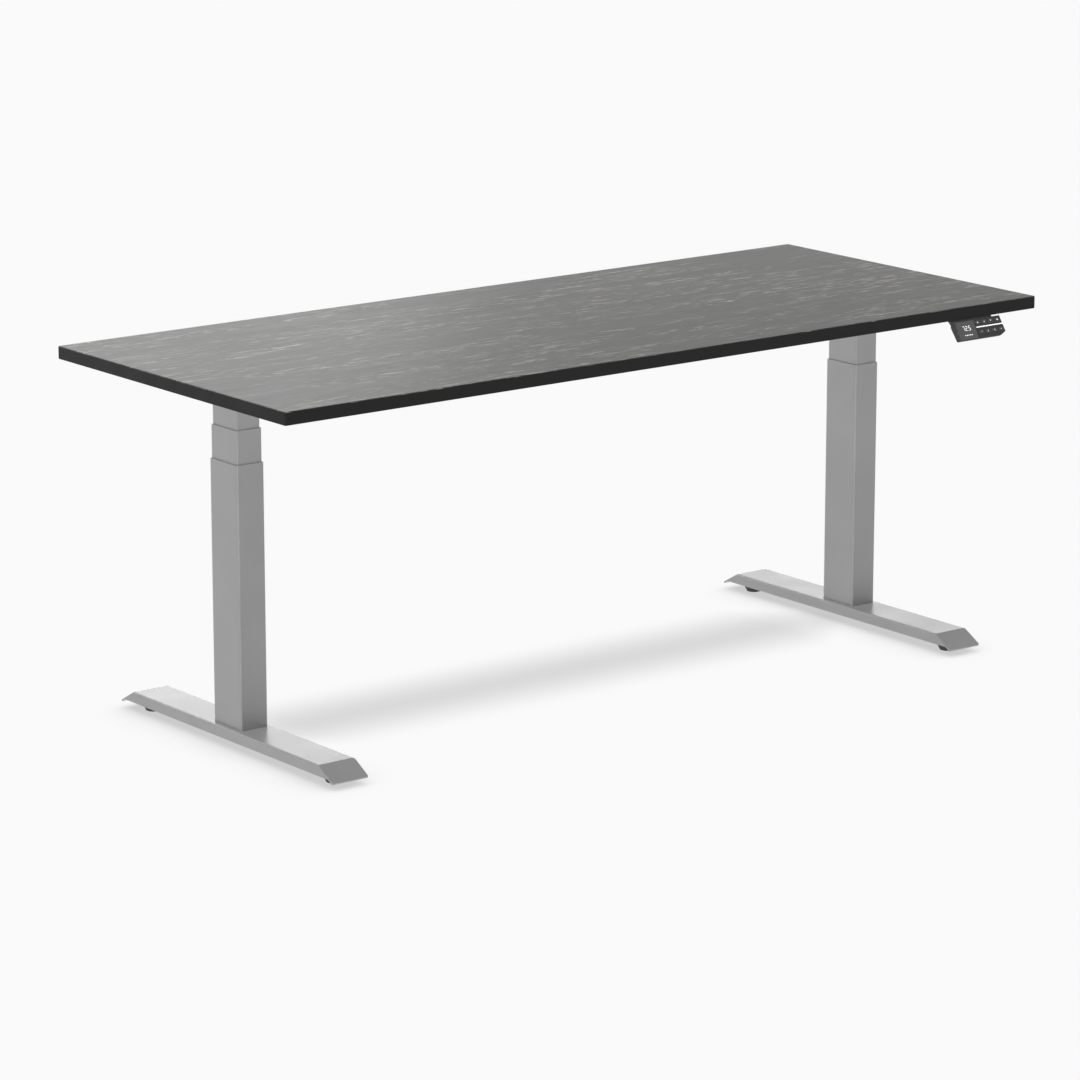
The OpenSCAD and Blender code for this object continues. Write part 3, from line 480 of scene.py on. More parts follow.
# %% Glowing white
glowing_white, tree, shader = start_material("glowing_white", 0.4)
glow = blend(tree, noise(tree, place_of(tree), 220.0, 1.0), grey(0.9), grey(1.0))
# Emission makes these shapes glow: real light for the display and bar, a painted glow on the
# printed key marks.
fill(tree, shader, {"Base Color": glow, "Emission Color": glow, "Emission Strength": 0.6})
print("material", glowing_white.name)

# %% [markdown]
# ## Which piece gets which finish
# The record gives every piece a material slot, so the finishes are handed out by slot name.
# A few finishes that the record counts with their neighbours are set piece by piece later.

# %% Finishes by slot
FINISHES = {
    "frame_paint": frame_paint, "steel": steel, "nylon": nylon, "bamboo": bamboo,
    "cast_alloy": cast_alloy, "motor_paint": motor_enamel, "lead_jacket": lead_jacket,
    "pad_rubber": pad_rubber, "handset_panel": panel_plastic, "black_plastic": black_plastic}
slot_of = {part["node"]: part["material_slot"] for part in frame["record"]["subparts"]}
for node_name, cad_object in frame["nodes"].items():
    if not cad_object.material_slots:
        cad_object.data.materials.append(None)
    for material_slot in cad_object.material_slots:
        material_slot.link = "OBJECT"
        material_slot.material = FINISHES[slot_of[node_name]]
print("finishes on", len(slot_of), "nodes")

# %% [markdown]
# ## Piece helpers
# Each new piece is built in a bmesh at its final place, so its object can stay at the origin.
# Afterwards its normals are turned outwards and its faces shaded smooth up to a chosen angle,
# and a Weighted Normal modifier keeps the large flat faces flat beside their bevels.

# %% Piece helpers
def size_of(node_name):
    """Lowest corner, highest corner and middle of a node's box."""
    low, high = (Vector(corner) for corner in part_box(node_name))
    return low, high, (low + high) / 2


def add_box(bm, low, high, material_index=0):
    """A box between two corners; returns its vertices."""
    low, high = Vector(low), Vector(high)
    made = bmesh.ops.create_cube(bm, size=1)["verts"]
    bmesh.ops.scale(bm, verts=made, vec=high - low)
    bmesh.ops.translate(bm, verts=made, vec=(low + high) / 2)
    for face in {f for v in made for f in v.link_faces}:
        face.material_index = material_index
    return made


def round_edges(bm, edges, radius, segments=3):
    """A round bevel on some edges."""
    return bmesh.ops.bevel(bm, geom=list(edges), offset=radius, segments=segments, profile=0.5,
                           affect="EDGES", material=-1, clamp_overlap=True)


def edges_of(verts):
    """The edges whose two ends are both among verts."""
    chosen = set(verts)
    return {e for v in verts for e in v.link_edges if e.verts[0] in chosen and e.verts[1] in chosen}


def along(edge, axis):
    """Whether an edge runs along an axis."""
    run = edge.verts[1].co - edge.verts[0].co
    return run.length > 0 and abs(run.normalized().dot(axis)) > 0.999


def add_plate(bm, outline, thickness, material_index=0):
    """A plate whose face is the outline, a few points in order, thick along a vector."""
    corners = [bm.verts.new(point) for point in outline]
    face = bm.faces.new(corners)
    grown = bmesh.ops.extrude_face_region(bm, geom=[face])["geom"]
    far = [g for g in grown if isinstance(g, bmesh.types.BMVert)]
    bmesh.ops.translate(bm, verts=far, vec=thickness)
    made = corners + far
    for touched in {f for v in made for f in v.link_faces}:
        touched.material_index = material_index
    return made


def add_turned(bm, profile, centre, axis=Z_AXIS, steps=48, material_index=0):
    """A turned shape: (radius, height) points spun round an axis through centre."""
    line = [bm.verts.new((radius, 0, height)) for radius, height in profile]
    links = [bm.edges.new(pair) for pair in zip(line, line[1:])]
    bmesh.ops.spin(bm, geom=line + links, cent=(0, 0, 0), axis=(0, 0, 1),
                   angle=2 * math.pi, steps=steps, use_merge=True)
    reach, more = set(), set(line)
    while more:
        reach |= more
        more = {w for v in more for f in v.link_faces for w in f.verts} - reach
    bmesh.ops.remove_doubles(bm, verts=list(reach), dist=1e-6)
    reach = [v for v in reach if v.is_valid]
    turn = Z_AXIS.rotation_difference(Vector(axis)).to_matrix().to_4x4()
    bmesh.ops.transform(bm, matrix=Matrix.Translation(Vector(centre)) @ turn, verts=reach)
    for face in {f for v in reach for f in v.link_faces}:
        face.material_index = material_index


def finish_piece(bm, name, materials, body, stands_for=(), smooth_deg=40,
                 flat=True):
    """Makes the object, rides it on its body and hides the nodes it stands for."""
    bmesh.ops.recalc_face_normals(bm, faces=bm.faces[:])
    piece = new_object(bm, name)
    for finish in materials:
        piece.data.materials.append(finish)
    piece.data.shade_smooth()
    piece.data.set_sharp_from_angle(angle=math.radians(smooth_deg))
    if flat:
        weighted = piece.modifiers.new("flat faces", "WEIGHTED_NORMAL")
        weighted.keep_sharp = True
    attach(piece, body)
    if stands_for:
        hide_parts(*stands_for)
    return piece


print("piece helpers ready")

# %% [markdown]
# ## The board
# The top is a solid 25 mm board. Its corners are just broken, and its upper and lower edges
# have an arris, a small round, that a router leaves. A cube scaled to the board's box takes
# both: first the upright corner edges are rounded, then the rims that run round the two faces.

# %% Board
ARRIS = 2 * MM
CORNER_ROUND = 3 * MM
low, high, _ = size_of("desktop")
bm = bmesh.new()
add_box(bm, low, high)
round_edges(bm, [e for e in bm.edges if along(e, Z_AXIS)], CORNER_ROUND, 4)
rims = [e for e in bm.edges if abs(e.verts[0].co.z - e.verts[1].co.z) < 1e-6]
round_edges(bm, rims, ARRIS, 4)
for face in bm.faces:
    centre = face.calc_center_median()
    face.material_index = int(low.z + 0.1 * MM < centre.z < high.z - 0.5 * ARRIS)
board = finish_piece(bm, "board", [bamboo, stained_edge], "top", ("desktop",))
print("board", tuple(round(v, 3) for v in board.dimensions))

# %% [markdown]
# ## Levelling glides
# Under each end of the feet a rubber pad on a threaded stem takes up an uneven floor. The pad
# narrows towards the floor and has a soft edge. It is turned on a lathe, so its half outline
# is spun round the stem. The thread is a stack of small grooves in the same outline.

# %% Glides
THREAD_PITCH, THREAD_DEPTH = 1.25 * MM, 0.5 * MM
STEM_RADIUS, PAD_TOP = 4 * MM, 14 * MM


def thread_profile(radius, length):
    """Zigzag outline of a thread, whole turns up to length."""
    turns, root = int(length / THREAD_PITCH), radius - THREAD_DEPTH
    points = []
    for turn in range(turns):
        points += [(root, turn * THREAD_PITCH), (radius, (turn + 0.5) * THREAD_PITCH)]
    return points + [(root, turns * THREAD_PITCH)]


for side in SIDES:
    for end_name in ("front", "rear"):
        node_name = f"{side}_{end_name}_glide"
        low, high, middle = size_of(node_name)
        radius = (high.x - low.x) / 2
        stem_length = high.z - low.z - PAD_TOP
        bm = bmesh.new()
        add_turned(bm, [
            (0, 0), (0.70 * radius, 0), (0.74 * radius, 0.6 * MM),
            (0.96 * radius, 0.68 * PAD_TOP), (radius, 0.74 * PAD_TOP), (radius, 0.84 * PAD_TOP),
            (0.97 * radius, 0.89 * PAD_TOP), (0.5 * radius, 0.93 * PAD_TOP),
            (0.46 * radius, PAD_TOP), (0, PAD_TOP)], (middle.x, middle.y, low.z))
        add_turned(bm, [(0, 0)] + thread_profile(STEM_RADIUS, stem_length - MM)
                   + [(STEM_RADIUS - MM, stem_length), (0, stem_length)],
                   (middle.x, middle.y, low.z + PAD_TOP), steps=24, material_index=1)
        glide = finish_piece(bm, f"{node_name}_piece", [pad_rubber, steel], node_name,
                             (node_name,), flat=False)
print("glides", glide.name, len(glide.data.polygons), "faces each")

# %% [markdown]
# ## The handset's own frame
# The handset's face slopes, so it is easiest to build it upright and tip it afterwards. Its
# slope is the direction in which its keys press, which the record holds as a joint axis. Its
# top left corner follows from the display panel's box. In this frame x runs along the face,
# y goes into the case and z goes up the face.

# %% Handset frame
key_joint = next(j for j in frame["record"]["behaviour"]["joints"] if j["name"] == "key_1_press")
press = Vector(key_joint["axis"])
tilt = math.atan2(-press.z, press.y)
PANEL_MARGIN, PANEL_THICK = 1.55 * MM, 1.2 * MM
low, high, _ = size_of("display_window")
face_run = (high.y - low.y - PANEL_THICK * math.cos(tilt)) / math.sin(tilt)
corner = Vector((low.x - PANEL_MARGIN, low.y + (face_run + PANEL_MARGIN) * math.sin(tilt),
                 high.z + PANEL_MARGIN * math.cos(tilt)))
handset_place = Matrix.Translation(corner) @ Matrix.Rotation(-tilt, 4, "X")
FACE_HEIGHT = face_run + 2 * PANEL_MARGIN
print("handset corner", tuple(round(v, 4) for v in corner), "slope", round(math.degrees(tilt), 1))

# %% [markdown]
# ## Handset case
# The case is a wedge: thick at the top, thinner at the foot, with one lower corner cut off and
# all its edges soft. The face outline is extruded to the full depth, three planes cut the
# wedge from it, and the edges are rounded. Pockets for the panel, the keys and the light bar
# are cut with a Boolean modifier, because an operator that cuts a hole in one flat face from
# ten outlines would need every crossing worked out by hand.

# %% Handset case
CASE_LENGTH, CASE_DEPTH, CASE_ROUND = 119 * MM, 16 * MM, 1.1 * MM
RIGHT_LEAN, LEFT_LEAN = 4.7 * MM, 1.3 * MM
CHAMFER_RUN, CHAMFER_RISE = 14.4 * MM, 6.6 * MM
TOP_FALL, BACK_TAPER, FOOT_CUT = 5.4 * MM, 6.5 * MM, 2 * MM
PANEL_POCKET_MARGIN, PANEL_END, PANEL_POCKET_ROUND = 1.5 * MM, 49 * MM, 0.6 * MM
KEY_W, KEY_H, KEY_ROUND = 13 * MM, 9 * MM, 1 * MM
KEY_GAP, KEY_POCKET_DEPTH = 0.15 * MM, 3 * MM
BAR_START, BAR_MIDDLE, BAR_HALF, BAR_DEPTH = 51.5 * MM, -17 * MM, 1.25 * MM, 0.9 * MM
CUTTER_OUT, BAR_CUTTER_PAST_END = 1 * MM, 10 * MM


def cut_away(bm, point, normal):
    """Cuts off what lies on the normal's side of a plane and closes the cut."""
    cut = bmesh.ops.bisect_plane(bm, geom=bm.verts[:] + bm.edges[:] + bm.faces[:],
                                 plane_co=point, plane_no=normal, clear_outer=True)
    rim = [g for g in cut["geom_cut"] if isinstance(g, bmesh.types.BMEdge)]
    bmesh.ops.holes_fill(bm, edges=rim)


def rounded_block(bm, low, high, corner_radius, soft_edge=0.0):
    """A block with round corners in the x-z plane and, if asked, a soft front edge."""
    block = add_box(bm, low, high)
    rounded = round_edges(bm, [e for e in edges_of(block) if along(e, Y_AXIS)], corner_radius, 4)
    if soft_edge:
        front = Vector(low).y

        def in_front(part):
            """Whether a face or an edge lies in the front plane."""
            return all(abs(v.co.y - front) < 1e-7 for v in part.verts)

        faces = {f for v in block + rounded["verts"] if v.is_valid for f in v.link_faces}
        rim = {e for f in faces for e in f.edges
               if in_front(e) and sum(in_front(g) for g in e.link_faces) == 1}
        round_edges(bm, rim, soft_edge, 2)


key_spots = []
for number in range(1, 9):
    key_middle = handset_place.inverted() @ size_of(f"key_{number}")[2]
    key_spots.append(Vector((key_middle.x, 0, key_middle.z)))

right_foot_x = CASE_LENGTH + RIGHT_LEAN
bm = bmesh.new()
add_plate(bm, [
    (0, 0, 0), (CASE_LENGTH, 0, 0), (right_foot_x, 0, CHAMFER_RISE - FACE_HEIGHT),
    (right_foot_x - CHAMFER_RUN, 0, -FACE_HEIGHT), (-LEFT_LEAN, 0, -FACE_HEIGHT)],
    Vector((0, CASE_DEPTH, 0)))
cut_away(bm, (0, 0, 0), (0, TOP_FALL, CASE_DEPTH))
cut_away(bm, (0, CASE_DEPTH, -TOP_FALL), (0, FACE_HEIGHT - TOP_FALL, -BACK_TAPER))
cut_away(bm, (0, CASE_DEPTH - BACK_TAPER, FOOT_CUT - FACE_HEIGHT), (0, 1, -1))
round_edges(bm, bm.edges[:], CASE_ROUND, 3)
bmesh.ops.recalc_face_normals(bm, faces=bm.faces[:])
case_body = new_object(bm, "case_body")

bm = bmesh.new()
rounded_block(bm, (PANEL_POCKET_MARGIN, -CUTTER_OUT, PANEL_POCKET_MARGIN - FACE_HEIGHT),
              (PANEL_END, PANEL_THICK, -PANEL_POCKET_MARGIN), PANEL_POCKET_ROUND)
for spot in key_spots:
    half = Vector((KEY_W / 2 + KEY_GAP, 0, KEY_H / 2 + KEY_GAP))
    rounded_block(bm, spot - half - Vector((0, CUTTER_OUT, 0)),
                  spot + half + Vector((0, KEY_POCKET_DEPTH, 0)), KEY_ROUND + KEY_GAP)
add_box(bm, (BAR_START, -CUTTER_OUT, BAR_MIDDLE - BAR_HALF),
        (CASE_LENGTH + BAR_CUTTER_PAST_END, BAR_DEPTH, BAR_MIDDLE + BAR_HALF))
bmesh.ops.recalc_face_normals(bm, faces=bm.faces[:])
pockets = new_object(bm, "pockets")
cutter = case_body.modifiers.new("pockets", "BOOLEAN")
cutter.operation, cutter.object, cutter.solver = "DIFFERENCE", pockets, "EXACT"
bpy.context.view_layer.update()
cut_mesh = bpy.data.meshes.new_from_object(
    case_body.evaluated_get(bpy.context.evaluated_depsgraph_get()))
for helper in (case_body, pockets):
    bpy.data.objects.remove(helper)
bm = bmesh.new()
bm.from_mesh(cut_mesh)
bmesh.ops.transform(bm, matrix=handset_place, verts=bm.verts[:])
print("case", len(bm.faces), "faces")

# %% [markdown]
# ## Neck and plate
# A neck joins the case to a thin plate that is screwed up under the board. Both belong to the
# same moulding as the case, so they go into the same mesh before it becomes a piece.

# %% Neck
PLATE_THICK, PLATE_ROUND, PLATE_SETBACK = 2.5 * MM, 1.5 * MM, 3 * MM
NECK_START, NECK_LENGTH, NECK_FLARE = 0.5 * MM, 99.5 * MM, 8 * MM
NECK_IN_CASE, NECK_BACK_WALL, NECK_IN_PLATE = 1.2 * MM, 2 * MM, 0.2 * MM
board_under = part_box("desktop")[0][2]
case_back = size_of("handset_case")[1].y
neck_x, plate_front = corner.x + NECK_START, corner.y + PLATE_SETBACK
plate = add_box(bm, (neck_x, plate_front, board_under - PLATE_THICK),
                (neck_x + NECK_LENGTH, case_back, board_under))
round_edges(bm, [e for e in edges_of(plate) if along(e, Z_AXIS)], PLATE_ROUND, 3)
neck_front = handset_place @ Vector((0, NECK_IN_CASE, -NECK_IN_CASE))
neck_rear = handset_place @ Vector((0, CASE_DEPTH - NECK_BACK_WALL, -TOP_FALL - 1.6 * MM))
neck_top = board_under - NECK_IN_PLATE
add_plate(bm, [
    (neck_x, plate_front, neck_top), (neck_x, neck_front.y, neck_front.z),
    (neck_x, neck_rear.y, neck_rear.z), (neck_x, neck_rear.y + NECK_FLARE, neck_top)],
    Vector((NECK_LENGTH, 0, 0)))
case = finish_piece(bm, "handset", [black_plastic], "top", ("handset_case",))
print("handset", tuple(round(v, 4) for v in case.dimensions))

# %% [markdown]
# ## Display panel and its figures
# The panel is smoked plastic, and the height is shown by lit bars behind it, seven to a
# figure. Each bar is a small flat hexagon. The decimal point and the row of small marks under
# it are bars too. Everything lit stands a few hundredths of a millimetre proud.

# %% Display
GLOW_THICK = 0.06 * MM
SEGMENTS = {"7": "abc", "2": "abged", "5": "afgcd", "1": "bc", "3": "abgcd", "4": "fgbc"}
FIGURE_HEIGHT, FIGURE_STROKE, FIGURE_ROW = 8.8 * MM, 1.2 * MM, -16.2 * MM
FIGURE_PLACES = {"7": 17.8 * MM, "2": 25.0 * MM, "5": 33.4 * MM}
POINT_PLACE, POINT_SIZE = 29.2 * MM, 1.6 * MM
MARK_ROW, MARK_START, MARK_STEP = -30.2 * MM, 18 * MM, 4.3 * MM
MARK_COUNT, MARK_LENGTH, MARK_HEIGHTS = 5, 3.4 * MM, (1.7 * MM, 2.6 * MM)
PANEL_GAP, PANEL_ROUND, PANEL_SOFT = 0.05 * MM, 0.55 * MM, 0.2 * MM


def add_glowing_shape(bm, centre, outline):
    """A thin glowing white shape in the handset's face, from points across and up from its centre.
    """
    points = [(centre[0] + across, -GLOW_THICK, centre[1] + up) for across, up in outline]
    add_plate(bm, points, Vector((0, 2 * GLOW_THICK, 0)), 1)


def add_bar(bm, centre, length, width, upright=False):
    """A flat bar with pointed ends."""
    half, tip = length / 2, width / 2
    level = [(-half, 0), (tip - half, tip), (half - tip, tip),
             (half, 0), (half - tip, -tip), (tip - half, -tip)]
    add_glowing_shape(bm, centre, [(v, u) if upright else (u, v) for u, v in level])


def add_figure(bm, figure, centre, height, stroke):
    """A seven-segment figure."""
    half, side_x = height / 2, height / 4
    bars = {"a": (0, half, False), "g": (0, 0, False), "d": (0, -half, False),
            "b": (side_x, half / 2, True), "c": (side_x, -half / 2, True),
            "f": (-side_x, half / 2, True), "e": (-side_x, -half / 2, True)}
    for segment in SEGMENTS[figure]:
        across, up, upright = bars[segment]
        add_bar(bm, (centre[0] + across, centre[1] + up), half - 0.12 * stroke, stroke, upright)


bm = bmesh.new()
rounded_block(bm, (PANEL_MARGIN, 0, PANEL_MARGIN - FACE_HEIGHT),
              (PANEL_END - PANEL_GAP, PANEL_THICK, -PANEL_MARGIN), PANEL_ROUND, PANEL_SOFT)
for figure, across in FIGURE_PLACES.items():
    add_figure(bm, figure, (across, FIGURE_ROW), FIGURE_HEIGHT, FIGURE_STROKE)
add_bar(bm, (POINT_PLACE, FIGURE_ROW - FIGURE_HEIGHT / 2), POINT_SIZE, POINT_SIZE)
for place in range(MARK_COUNT):
    add_bar(bm, (MARK_START + place * MARK_STEP, MARK_ROW), MARK_LENGTH, MARK_HEIGHTS[place % 2])
bmesh.ops.transform(bm, matrix=handset_place, verts=bm.verts[:])
display = finish_piece(bm, "display", [window_plastic, glowing_white], "top",
                       ("display_window",), smooth_deg=50)
print("display", len(display.data.polygons), "faces")

# %% [markdown]
# ## Light bar
# A white bar runs between the two rows of keys and out at the right end of the case. It is a
# clear strip lit from inside, a little proud of the face so that its edges stay soft.

# %% Light bar
BAR_GAP, BAR_PROUD, BAR_ROUND = 0.1 * MM, 0.1 * MM, 0.15 * MM
half_height = BAR_HALF - 0.8 * BAR_GAP
bar_end = CASE_LENGTH + RIGHT_LEAN * BAR_MIDDLE / (CHAMFER_RISE - FACE_HEIGHT) - BAR_GAP
bm = bmesh.new()
strip = add_box(bm, (BAR_START + BAR_GAP, -BAR_PROUD, BAR_MIDDLE - half_height),
                (bar_end, BAR_DEPTH, BAR_MIDDLE + half_height))
round_edges(bm, edges_of(strip), BAR_ROUND, 2)
bmesh.ops.transform(bm, matrix=handset_place, verts=bm.verts[:])
finish_piece(bm, "light_bar", [glowing_white], "top")
print("light bar", round(bar_end - BAR_START, 4), "m long")

# %% [markdown]
# ## Keys
# Eight keys sit flush in their pockets. Each is a rounded block with a soft front edge and a
# printed white mark with a painted glow, and it rides on its own body, because it can be pressed.
# The marks are plain signs: a ring, an arrow up, an arrow down and a dot above, and the figures 1
# to 4 below.

# %% Keys
KEY_THICK, KEY_SOFT = 2 * MM, 0.3 * MM
RING_OUTER, RING_INNER, DOT_RADIUS = 1.5 * MM, 0.9 * MM, 1.6 * MM
ARROW_SIZE, KEY_FIGURE_HEIGHT, KEY_FIGURE_STROKE = 3.2 * MM, 2.8 * MM, 0.6 * MM


def add_arrow(bm, centre, size, up):
    """A chevron pointing up or down the face."""
    half, notch = size / 2, 0.15 * size
    lift = 0.8 * (half if up else -half)
    add_glowing_shape(bm, centre, [(-half, -lift), (0, lift), (half, -lift),
                         (notch, -lift), (0, 0.2 * lift), (-notch, -lift)])


def add_dot(bm, centre, outer, inner=0.0):
    """A disc, or a ring if it has an inner radius."""
    profile = [(inner, 0), (outer, 0), (outer, 2 * GLOW_THICK), (inner, 2 * GLOW_THICK)]
    if inner:
        profile.append(profile[0])
    add_turned(bm, profile, (centre[0], -GLOW_THICK, centre[1]), Y_AXIS, 24, 1)


for number, spot in enumerate(key_spots, 1):
    half = Vector((KEY_W / 2, 0, KEY_H / 2))
    bm = bmesh.new()
    rounded_block(bm, spot - half, spot + half + Vector((0, KEY_THICK, 0)), KEY_ROUND, KEY_SOFT)
    centre = (spot.x, spot.z)
    # The key marks are printed white; the glowing white material paints a glow on them.
    if number == 1:
        add_dot(bm, centre, RING_OUTER, RING_INNER)
    elif number in (2, 3):
        add_arrow(bm, centre, ARROW_SIZE, number == 2)
    elif number == 4:
        add_dot(bm, centre, DOT_RADIUS)
    else:
        add_figure(bm, str(number - 4), centre, KEY_FIGURE_HEIGHT, KEY_FIGURE_STROKE)
    bmesh.ops.transform(bm, matrix=handset_place, verts=bm.verts[:])
    finish_piece(bm, f"key_{number}_cap", [panel_plastic, glowing_white], f"key_{number}",
                 (f"key_{number}",), smooth_deg=50)
print("keys", len(key_spots))

# %% [markdown]
# ## Leads
# The leads of the motors and of the handset keep the run that the frame gives them. Their
# tubes have few sides, so the loose triangles are welded and then rounded by a subdivision.

# %% Leads
for node_name in ("left_motor_lead", "right_motor_lead", "handset_lead"):
    lead = frame["nodes"][node_name]
    weld = lead.modifiers.new("weld", "WELD")
    weld.merge_threshold = 0.00001
    smooth = lead.modifiers.new("round", "SUBSURF")
    smooth.levels = smooth.render_levels = 1
print("leads rounded")

# %% [markdown]
# ## Control box
# A flat box under the board holds the electronics. It is a moulded tray with round edges, a
# row of cooling ribs on its underside, a socket at each end for the motors' leads, one in
# front for the handset's, and a small status light. The tray is a bevelled block; the ribs and
# sockets are smaller ones.

# %% Control box
SOCKET_OUT, SOCKET_ROUND, BOX_ROUND = 6 * MM, 0.8 * MM, 3 * MM
MOTOR_SOCKET_HALF, HANDSET_SOCKET_HALF = (8 * MM, 6 * MM), (7 * MM, 5 * MM)
MOTOR_LEAD_RADIUS, HANDSET_LEAD_RADIUS = 2.5 * MM, 2 * MM
RIB_COUNT, RIB_START, RIB_STEP, RIB_WIDTH = 14, 40 * MM, 6 * MM, 2.4 * MM
RIB_FRONT, RIB_REAR, RIB_PROUD, RIB_ROUND = 22 * MM, 30 * MM, 0.6 * MM, 0.5 * MM
LIGHT_RADIUS, LIGHT_LENGTH, LIGHT_SINK, LIGHT_FROM_END = 1.6 * MM, 1.2 * MM, 0.3 * MM, 24 * MM


def add_soft_box(bm, low, high, radius, segments=2):
    """A box with all its edges rounded."""
    round_edges(bm, edges_of(add_box(bm, low, high)), radius, segments)


low, high, middle = size_of("control_box_base")
bm = bmesh.new()
add_soft_box(bm, (low.x + SOCKET_OUT, low.y + SOCKET_OUT, low.z),
             (high.x - SOCKET_OUT, high.y, high.z), BOX_ROUND, 4)
lead_low, lead_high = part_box("left_motor_lead")
lead_y = (lead_low[1] + lead_high[1]) / 2
lead_z = lead_low[2] + MOTOR_LEAD_RADIUS
wide, tall = MOTOR_SOCKET_HALF
for end_x in (low.x, high.x - SOCKET_OUT - MM):
    add_soft_box(bm, (end_x, lead_y - wide, lead_z - tall),
                 (end_x + SOCKET_OUT + MM, lead_y + wide, lead_z + tall),
                 SOCKET_ROUND)
handset_lead_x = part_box("handset_lead")[0][0] + HANDSET_LEAD_RADIUS
wide, tall = HANDSET_SOCKET_HALF
add_soft_box(bm, (handset_lead_x - wide, low.y, lead_z - tall),
             (handset_lead_x + wide, low.y + SOCKET_OUT + MM, lead_z + tall), SOCKET_ROUND)
for rib in range(RIB_COUNT):
    rib_x = low.x + RIB_START + rib * RIB_STEP
    add_soft_box(bm, (rib_x, middle.y - RIB_FRONT, low.z - RIB_PROUD),
                 (rib_x + RIB_WIDTH, middle.y + RIB_REAR, low.z + MM), RIB_ROUND)
add_turned(bm, [(0, 0), (LIGHT_RADIUS, 0), (LIGHT_RADIUS, LIGHT_LENGTH), (0, LIGHT_LENGTH)],
           (high.x - LIGHT_FROM_END, low.y + SOCKET_OUT - LIGHT_SINK, lead_z), Y_AXIS, 20, 1)
control_box = finish_piece(bm, "control_box", [black_plastic, glowing_white], "top",
                           ("control_box_base",))
print("control box", len(control_box.data.polygons), "faces")

# %% [markdown]
# ## Mains inlet
# The mains lead plugs into a deep rectangular recess with two pins. The recess is made from
# the back face of a block: an inset leaves the rim, and the face inside it is pushed in.

# %% Mains inlet
INLET_RIM, INLET_DEPTH, INLET_ROUND = 4 * MM, 9 * MM, 1.5 * MM
PIN_OFFSET, PIN_RADIUS, PIN_TIP_RADIUS = 5 * MM, 1.2 * MM, 0.9 * MM
low, high, middle = size_of("mains_inlet")
bm = bmesh.new()
add_box(bm, low, high)
mouth = max(bm.faces, key=lambda f: f.calc_center_median().y)
uprights = [e for e in bm.edges if along(e, Y_AXIS)]
bmesh.ops.inset_region(bm, faces=[mouth], thickness=INLET_RIM, depth=0)
recess = bmesh.ops.extrude_discrete_faces(bm, faces=[mouth])["faces"]
bmesh.ops.translate(bm, verts=recess[0].verts[:], vec=(0, -INLET_DEPTH, 0))
round_edges(bm, [e for e in uprights if e.is_valid], INLET_ROUND, 3)
for across in (-PIN_OFFSET, PIN_OFFSET):
    add_turned(bm, [(0, 0), (PIN_RADIUS, 0), (PIN_RADIUS, 7.4 * MM),
                    (PIN_TIP_RADIUS, 8.2 * MM), (0, 8.6 * MM)],
               (middle.x + across, high.y - INLET_DEPTH, middle.z), Y_AXIS, 20, 1)
mains = finish_piece(bm, "mains_socket", [black_plastic, steel], "top",
                     ("mains_inlet",))
print("mains inlet", tuple(round(v, 4) for v in mains.dimensions))

# %% [markdown]
# ## Motor fittings
# Each motor keeps its can from the frame. A turned end bell with three screws closes its back,
# two seam rings run round the can, and a rubber sleeve, tapered to bend
# with the lead, leads the wires out. All of them are turned shapes along X.

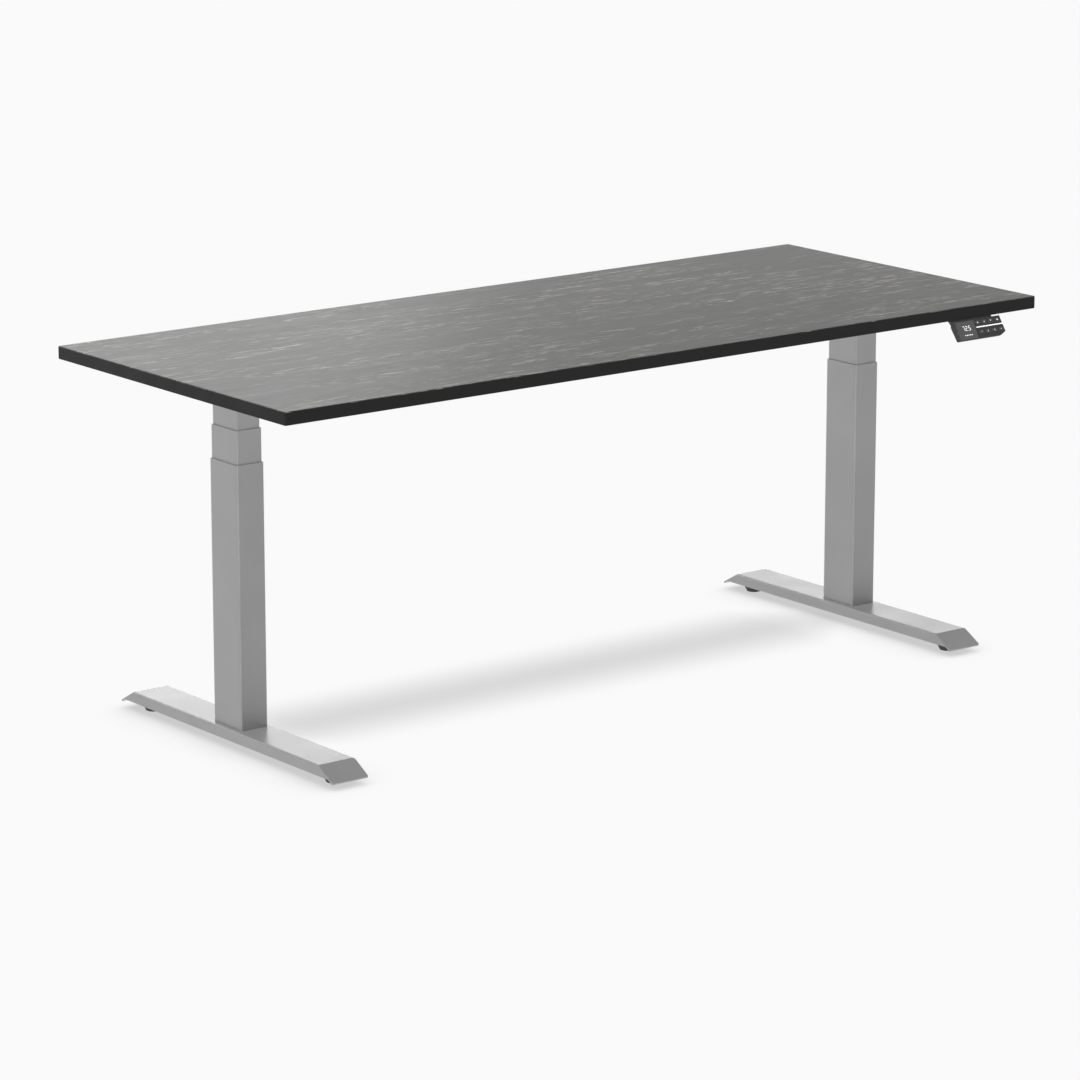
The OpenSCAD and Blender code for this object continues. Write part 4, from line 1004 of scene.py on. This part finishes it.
# %% Motor fittings
CAN_RADIUS, BELL_RADIUS, BELL_LENGTH = 21 * MM, 18 * MM, 12 * MM
SEAM_PLACES = (BELL_LENGTH + 5 * MM, BELL_LENGTH + 58 * MM)
SEAM_SINK, SEAM_PROUD, SEAM_WIDTH = 0.2 * MM, 0.35 * MM, 2.5 * MM
SCREW_COUNT, SCREW_CIRCLE = 3, 12.5 * MM
SLEEVE_RADIUS, SLEEVE_START, SLEEVE_GROOVES, SLEEVE_STEP = 5.5 * MM, -2 * MM, 4, 3 * MM
for side, sign in (("left", -1), ("right", 1)):
    low, high, middle = size_of(f"{side}_motor")
    back = high.x if sign < 0 else low.x
    inward = Vector((sign, 0, 0))
    axis_point = Vector((back, middle.y, low.z + CAN_RADIUS))
    bm = bmesh.new()
    add_turned(bm, [
        (0.3 * BELL_RADIUS, -0.8 * MM), (0.86 * BELL_RADIUS, -0.8 * MM), (BELL_RADIUS, 0.8 * MM),
        (BELL_RADIUS + 0.3 * MM, 2 * MM), (BELL_RADIUS + 0.3 * MM, BELL_LENGTH - MM),
        (BELL_RADIUS + 0.9 * MM, BELL_LENGTH - 0.1 * MM)], axis_point, inward, 64)
    for seam in SEAM_PLACES:
        add_turned(bm, [
            (CAN_RADIUS - SEAM_SINK, seam), (CAN_RADIUS + SEAM_PROUD, seam + 0.3 * MM),
            (CAN_RADIUS + SEAM_PROUD, seam + SEAM_WIDTH - 0.3 * MM),
            (CAN_RADIUS - SEAM_SINK, seam + SEAM_WIDTH)], axis_point, inward, 64)
    for screw in range(SCREW_COUNT):
        angle = math.pi / 6 + screw * 2 * math.pi / SCREW_COUNT
        spot = axis_point + Vector((0, math.cos(angle), math.sin(angle))) * SCREW_CIRCLE
        add_turned(bm, [(0, 0.4 * MM), (1.1 * MM, 0.4 * MM), (1.1 * MM, -1.9 * MM),
                        (1.7 * MM, -2.1 * MM), (2.6 * MM, -1.5 * MM), (2.8 * MM, -0.7 * MM)],
                   spot, inward, 20, 1)
    lead_low, lead_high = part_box(f"{side}_motor_lead")
    lead_y = (lead_low[1] + lead_high[1]) / 2
    sleeve = [(SLEEVE_RADIUS, 0.5 * MM), (SLEEVE_RADIUS, SLEEVE_START)]
    for groove in range(SLEEVE_GROOVES):
        reach = SLEEVE_START - groove * SLEEVE_STEP
        wide = SLEEVE_RADIUS - (0.3 + 0.5 * groove) * MM
        sleeve += [(wide, reach - 0.4 * MM), (wide - 0.2 * MM, reach - 2 * MM),
                   (wide - 1.1 * MM, reach - 2.2 * MM), (wide - 1.1 * MM, reach - 2.9 * MM)]
    add_turned(bm, sleeve, (back, lead_y, low.z + CAN_RADIUS), inward, 24, 2)
    fittings = finish_piece(bm, f"{side}_motor_fittings", [motor_enamel, steel, pad_rubber],
                            "top", smooth_deg=50, flat=False)
print("motor fittings", len(fittings.data.polygons), "faces each")

# %% [markdown]
# ## Screw heads
# The screws and bolts under the board have domed heads with a hexagonal socket. The frame
# holds each screw as a plain shank and disc, so a dome is set on every disc. The places are
# read from the frame: a copy of the node's mesh is merged into separate screws, and the box
# of each gives its middle and the plane of its head.

# %% Screw heads
DOWN_HEAD_FILL, SIDE_HEAD_FILL = 0.92, 0.9


def separate_boxes(node_name):
    """The box of each separate solid in a node."""
    copy = bmesh.new()
    copy.from_mesh(frame["nodes"][node_name].data)
    bmesh.ops.remove_doubles(copy, verts=copy.verts[:], dist=1e-6)
    seen, boxes = set(), []
    for start in copy.verts:
        if start in seen:
            continue
        reach, more = set(), {start}
        while more:
            reach |= more
            more = {e.other_vert(v) for v in more for e in v.link_edges} - reach
        seen |= reach
        boxes.append([Vector([pick(v.co[i] for v in reach) for i in range(3)])
                      for pick in (min, max)])
    copy.free()
    return boxes


def add_dome(bm, centre, radius, axis):
    """A domed head with a hexagonal socket, standing on centre towards the axis."""
    socket = 0.5 * radius
    add_turned(bm, [(radius, -0.1 * MM), (radius, 0.2 * radius), (0.85 * radius, 0.42 * radius),
                    (0.5 * radius, 0.55 * radius), (0.86 * socket, 0.55 * radius)],
               centre, axis, 24)
    add_turned(bm, [(socket, 0.552 * radius), (socket, 0.1 * radius), (0, 0.02 * radius)],
               centre, axis, 6)


def add_heads(bm, node_name):
    """A dome on each screw of a node, sideways where the screw lies level."""
    boxes = separate_boxes(node_name)
    for low, high in boxes:
        middle, span = (low + high) / 2, high - low
        if span.z < span.x:
            outward = X_AXIS if middle.x > 0 else -X_AXIS
            head_x = high.x if middle.x > 0 else low.x
            add_dome(bm, (head_x, middle.y, middle.z), SIDE_HEAD_FILL * span.z / 2, outward)
        else:
            add_dome(bm, (middle.x, middle.y, low.z), DOWN_HEAD_FILL * span.x / 2, -Z_AXIS)
    return len(boxes)


bm = bmesh.new()
heads = add_heads(bm, "desktop_screws") + add_heads(bm, "frame_bolts")
finish_piece(bm, "screw_heads", [steel], "top", smooth_deg=35, flat=False)
bm = bmesh.new()
heads += add_heads(bm, "foot_bolts")
finish_piece(bm, "foot_bolt_heads", [steel], "base", smooth_deg=35, flat=False)
print("screw heads", heads)
